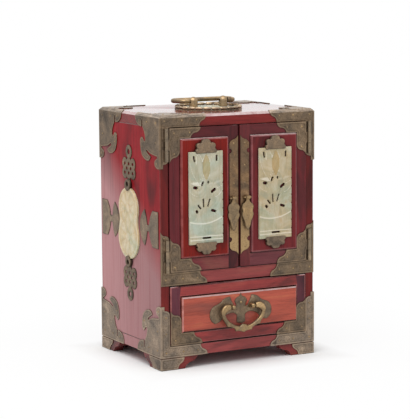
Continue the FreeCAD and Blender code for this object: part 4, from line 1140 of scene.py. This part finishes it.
# Petals of the lotus in millimetres from the plaque's middle:
# centre, half width and length, lean, height of the rim and of the hollow inside it
LOTUS = [
    ((0.3, 30.0), (5.6, 13.5), 0, 1.0, 0.3),
    ((-6.8, 31.0), (4.4, 15.0), 9, 0.95, 0.7), ((7.2, 31.0), (4.4, 15.0), -9, 0.8, 0.65),
    ((-12.0, 27.5), (4.2, 16.0), 20, 0.85, 0.65), ((12.6, 27.5), (4.2, 16.0), -20, 0.75, 0.6),
    ((-9.5, 14.0), (1.8, 8.0), 84, 1.0, 1.0), ((9.5, 14.5), (1.8, 8.0), -80, 0.75, 0.75),
    ((-13.0, 6.5), (3.6, 9.0), 55, 0.85, 0.65), ((12.5, 5.5), (3.8, 9.0), -50, 0.95, 0.65),
    ((0.0, -4.0), (3.4, 10.0), 0, 0.75, 0.65), ((-5.4, -5.0), (3.2, 10.0), 28, 0.7, 0.6),
    ((5.4, -5.0), (3.2, 10.0), -28, 0.7, 0.6), ((-11.0, -9.0), (3.2, 9.5), 58, 0.75, 0.65),
    ((11.0, -9.0), (3.2, 9.5), -58, 0.75, 0.65), ((-14.0, -17.5), (2.6, 7.0), 80, 0.7, 0.6),
    ((14.0, -16.5), (2.6, 7.0), -76, 0.7, 0.6),
]
LOTUS_GROUND = 0.55
# Swell at which a petal's rim ends and its hollow begins, and how far the hollow rises
PETAL_RIM = 0.6
PETAL_RISE = 0.1
# The bowl in millimetres: its lip in the middle with the lip's tilt and curve, its bottom and half width
LIP_LEVEL, LIP_TILT, LIP_CURVE = -25.0, 0.1, 0.012
BOWL_BOTTOM = -37.0
BOWL_HALF = 20.0
BOWL_HEIGHT, BOWL_FALL = 0.7, 0.3
LIP_WIDTH = 1.7
# Level and half width of the two ridges under the bowl
FOOT_RIDGES = ((-37.7, 1.1), (-41.0, 1.3))


def lotus_height(across, up):
    """Lotus over a shallow bowl on its foot, from 0 in the ground to 1 along its ridges."""
    height = LOTUS_GROUND
    for centre, half, lean, rim, hollow in LOTUS:
        swell = petal(across, up, centre, half, lean)
        if swell > PETAL_RIM:
            return hollow + PETAL_RISE * (swell - PETAL_RIM)
        if swell > 0.0:
            height = max(height, rim)
    lip = LIP_LEVEL + LIP_CURVE * across * across + LIP_TILT * across
    if BOWL_BOTTOM < up < lip:
        height = max(height, BOWL_HEIGHT - BOWL_FALL * (across / BOWL_HALF) ** 2)
    for line, width in ((lip, LIP_WIDTH), *FOOT_RIDGES):
        height = max(height, 1.0 - ((up - line) / width) ** 2)
    return height


# Shares of a rosette's radius at its rim and its boss, and heights of its parts
ROSETTE_RIM, ROSETTE_BOSS = 0.86, 0.2
RIM_HEIGHT, BOSS_FOOT = 0.7, 0.5
LEAF_START, LEAF_RUN = 0.15, 0.72
LEAF_FOOT, LEAF_HEIGHT, LEAF_LEAST = 0.15, 0.7, 0.1
LEAF_FULLNESS = 0.6
SIDE_PETALS = 8
DISC_PETALS = 12


def rosette_height(across, up, radius, petals):
    """Round flower with a boss, in a raised rim."""
    reach = math.hypot(across, up) / radius
    turn = math.atan2(up, across)
    if reach > ROSETTE_RIM:
        return RIM_HEIGHT
    if reach < ROSETTE_BOSS:
        return BOSS_FOOT + (1.0 - BOSS_FOOT) * math.sqrt(1.0 - (reach / ROSETTE_BOSS) ** 2)
    fullness = abs(math.cos(petals * turn / 2)) ** LEAF_FULLNESS
    swell = fullness * math.sin(math.pi * (reach - LEAF_START) / LEAF_RUN)
    return max(LEAF_LEAST, LEAF_FOOT + LEAF_HEIGHT * swell)


class CABINET_OT_door_plaques(bpy.types.Operator):
    """Pierced jade plaques of the doors, carved with a lotus over a bowl"""
    bl_idname = "cabinet.door_plaques"
    bl_label = "Door plaques"

    def execute(self, context):
        sizes, colours = settings(context)
        for side, tone, stain in (("left", colours.green_jade, GREEN_STAIN),
                                  ("right", colours.cream_jade, BROWN_STAIN)):
            node = f"{side}_door_plaque"
            low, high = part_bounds(node)
            middle = (low + high) / 2

            def carve(place, middle=middle):
                height = lotus_height((place.x - middle.x) / MM, (place.z - middle.z) / MM)
                return sizes.carving * (1.0 - min(1.0, height))

            bm = copy_of(node)
            pillow(bm, FRONT, 0.8 * MM, 0.4 * MM, sizes.cell, carve, sizes.carving)
            stand_for(node, "jade", bm, (jade(f"{side}_jade", tone, stain),))
        return {"FINISHED"}


# Radius of the gourd's upper lobe against its lower one
UPPER_LOBE = 0.9375


class CABINET_OT_side_plaques(bpy.types.Operator):
    """Gourd-shaped jade plaques of the sides, with a rosette in each lobe"""
    bl_idname = "cabinet.side_plaques"
    bl_label = "Side plaques"

    def execute(self, context):
        sizes, colours = settings(context)
        finish = jade("side_jade", shade(colours.cream_jade, 1.22), BROWN_STAIN, 0.2, 0.45)
        for side, out in (("left", LEFT), ("right", RIGHT)):
            node = f"{side}_side_plaque"
            low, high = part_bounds(node)
            middle = (low + high) / 2
            lower = (high.y - low.y) / 2
            upper = UPPER_LOBE * lower
            lobes = ((low.z + lower, lower), (high.z - upper, upper))

            def carve(place, middle=middle, lobes=lobes):
                across = place.y - middle.y
                reaches = [(math.hypot(across, place.z - level) / radius, level, radius)
                           for level, radius in lobes]
                _, level, radius = min(reaches)
                height = rosette_height(across, place.z - level, radius, SIDE_PETALS)
                return sizes.carving * (1.0 - min(1.0, height))

            bm = copy_of(node)
            pillow(bm, out, 1.2 * MM, 0.6 * MM, sizes.cell, carve, sizes.carving)
            stand_for(node, "jade", bm, (finish,))
        return {"FINISHED"}


class CABINET_OT_handle_disc(bpy.types.Operator):
    """Jade disc under the carrying handle"""
    bl_idname = "cabinet.handle_disc"
    bl_label = "Handle disc"

    def execute(self, context):
        sizes, colours = settings(context)
        low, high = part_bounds("handle_disc")
        middle = (low + high) / 2
        radius = (high.x - low.x) / 2
        depth = 0.5 * (high.z - low.z)

        def carve(place):
            height = rosette_height(place.x - middle.x, place.y - middle.y, radius, DISC_PETALS)
            return depth * (1.0 - min(1.0, height))

        bm = copy_of("handle_disc")
        pillow(bm, UP, 1.0 * MM, 0.3 * MM, sizes.cell, carve, depth)
        finish = jade("disc_jade", colours.green_jade, GREEN_STAIN)
        stand_for("handle_disc", "jade", bm, (finish,))
        return {"FINISHED"}


# Stage

FLOOR_SIZE = 6.0
FLOOR_TONE = (0.9, 0.9, 0.9, 1.0)
FLOOR_ROUGHNESS = 0.9
# The floor rises to its first white over the shadow's reach, and to full white further off
SHADOW_REACH = 30 * MM
FLOOR_WHITE = 0.85
FLOOR_FAR = 220 * MM
KEY_PLACE = (-0.5, -0.5, 1.4)
KEY_SIZE = 1.3
KEY_AIM = Vector((0.0, 0.0, 0.12))


class CABINET_OT_stage(bpy.types.Operator):
    """White floor, soft studio light and the camera"""
    bl_idname = "cabinet.stage"
    bl_label = "Stage"

    def execute(self, context):
        stage = context.scene.cabinet_stage
        context.scene.view_settings.view_transform = "Standard"
        self.world(context, stage)
        self.floor(context)
        self.lamp(context, stage)
        self.camera(context, stage)
        return {"FINISHED"}

    def world(self, context, stage):
        world = bpy.data.worlds.new("Studio")
        world.use_nodes = True
        studio = Shading(world.node_tree)
        strength = studio.spread(studio.seen(), 0.0, 1.0, stage.daylight, 1.0)
        studio.fill(studio.nodes["Background"], Color=(*WHITE, 1.0), Strength=strength)
        context.scene.world = world

    def floor(self, context):
        bm = bmesh.new()
        bmesh.ops.create_grid(bm, x_segments=1, y_segments=1, size=FLOOR_SIZE)
        mesh = bpy.data.meshes.new("floor")
        bm.to_mesh(mesh)
        bm.free()
        floor = bpy.data.objects.new("floor", mesh)
        context.scene.collection.objects.link(floor)
        mesh.materials.append(self.floor_finish())
        floor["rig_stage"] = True

    def floor_finish(self):
        """White away from the cabinet, and pale with its shadow close by."""
        finish = Finish("white_floor")
        finish.look(Base_Color=FLOOR_TONE, Roughness=FLOOR_ROUGHNESS, Specular_IOR_Level=0.0)
        outside = []
        for axis in (X, Y):
            away = finish.combine("ABSOLUTE", finish.along(axis))
            outside.append(finish.combine("SUBTRACT", away, cad_box[1][axis]))
        gap = finish.combine("MAXIMUM", *outside)
        far = finish.combine("ADD", finish.spread(gap, 0.0, SHADOW_REACH, 0.0, FLOOR_WHITE),
                             finish.spread(gap, SHADOW_REACH, FLOOR_FAR, 0.0, 1.0 - FLOOR_WHITE))
        blend = finish.add("MixShader", Fac=finish.combine("MULTIPLY", far, finish.seen()))
        finish.give(blend.inputs[1], finish.shader.outputs["BSDF"])
        finish.give(blend.inputs[2], finish.add("Emission").outputs["Emission"])
        finish.fill(finish.nodes["Material Output"], Surface=blend.outputs["Shader"])
        return finish.material

    def lamp(self, context, stage):
        light = bpy.data.lights.new("Key", "AREA")
        light.size = KEY_SIZE
        light.energy = stage.key
        lamp = bpy.data.objects.new("Key", light)
        lamp.location = KEY_PLACE
        lamp.rotation_euler = (KEY_AIM - lamp.location).to_track_quat("-Z", "Y").to_euler()
        context.scene.collection.objects.link(lamp)

    def camera(self, context, stage):
        low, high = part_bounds("top_board")
        target = Vector((stage.aim_x, (low.y + high.y) / 2, stage.aim_z))
        flat = math.cos(stage.elevation)
        back = Vector((math.sin(stage.azimuth) * flat, -math.cos(stage.azimuth) * flat,
                       math.sin(stage.elevation)))
        across = Vector((math.cos(stage.azimuth), math.sin(stage.azimuth), 0.0))
        up = back.cross(across)
        turn = Matrix((across, up, back)).transposed() @ Matrix.Rotation(stage.roll, 3, "Z")
        data = bpy.data.cameras.new("Camera")
        data.sensor_width = SENSOR
        data.lens = stage.focal * SENSOR / IMAGE_HEIGHT
        camera = bpy.data.objects.new("Camera", data)
        camera.matrix_world = Matrix.Translation(target + back * stage.distance) @ turn.to_4x4()
        context.scene.collection.objects.link(camera)
        context.scene.camera = camera


GROUPS = {"cabinet_sizes": CabinetSizes, "cabinet_colours": CabinetColours, "cabinet_stage": CabinetStage}
PIECES = (CABINET_OT_case_boards, CABINET_OT_doors, CABINET_OT_drawer, CABINET_OT_linings,
          CABINET_OT_sheet_mounts, CABINET_OT_castings, CABINET_OT_handle_plate, CABINET_OT_nails,
          CABINET_OT_door_plaques, CABINET_OT_side_plaques, CABINET_OT_handle_disc, CABINET_OT_stage)


class CABINET_PT_sidebar(bpy.types.Panel):
    """Sizes, colours and steps of the cabinet"""
    bl_idname = "CABINET_PT_sidebar"
    bl_label = "Portable cabinet"
    bl_space_type = "VIEW_3D"
    bl_region_type = "UI"
    bl_category = "Cabinet"

    def draw(self, context):
        for name, group in GROUPS.items():
            box = self.layout.box()
            for value in group.__annotations__:
                box.prop(getattr(context.scene, name), value)
        for piece in PIECES:
            self.layout.operator(piece.bl_idname)


def register():
    for item in (*GROUPS.values(), *PIECES, CABINET_PT_sidebar):
        bpy.utils.register_class(item)
    for name, group in GROUPS.items():
        setattr(bpy.types.Scene, name, PointerProperty(type=group))


def unregister():
    for name in GROUPS:
        delattr(bpy.types.Scene, name)
    for item in (CABINET_PT_sidebar, *reversed(PIECES), *GROUPS.values()):
        bpy.utils.unregister_class(item)


def main():
    register()
    for piece in PIECES:
        step = piece.bl_idname.split(".")[1]
        getattr(bpy.ops.cabinet, step)()
    boxes = {"cad": cad_box, "visual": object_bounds()}
    {name: [list(corner) for corner in box] for name, box in boxes.items()}


if __name__ == "__main__":
    main()
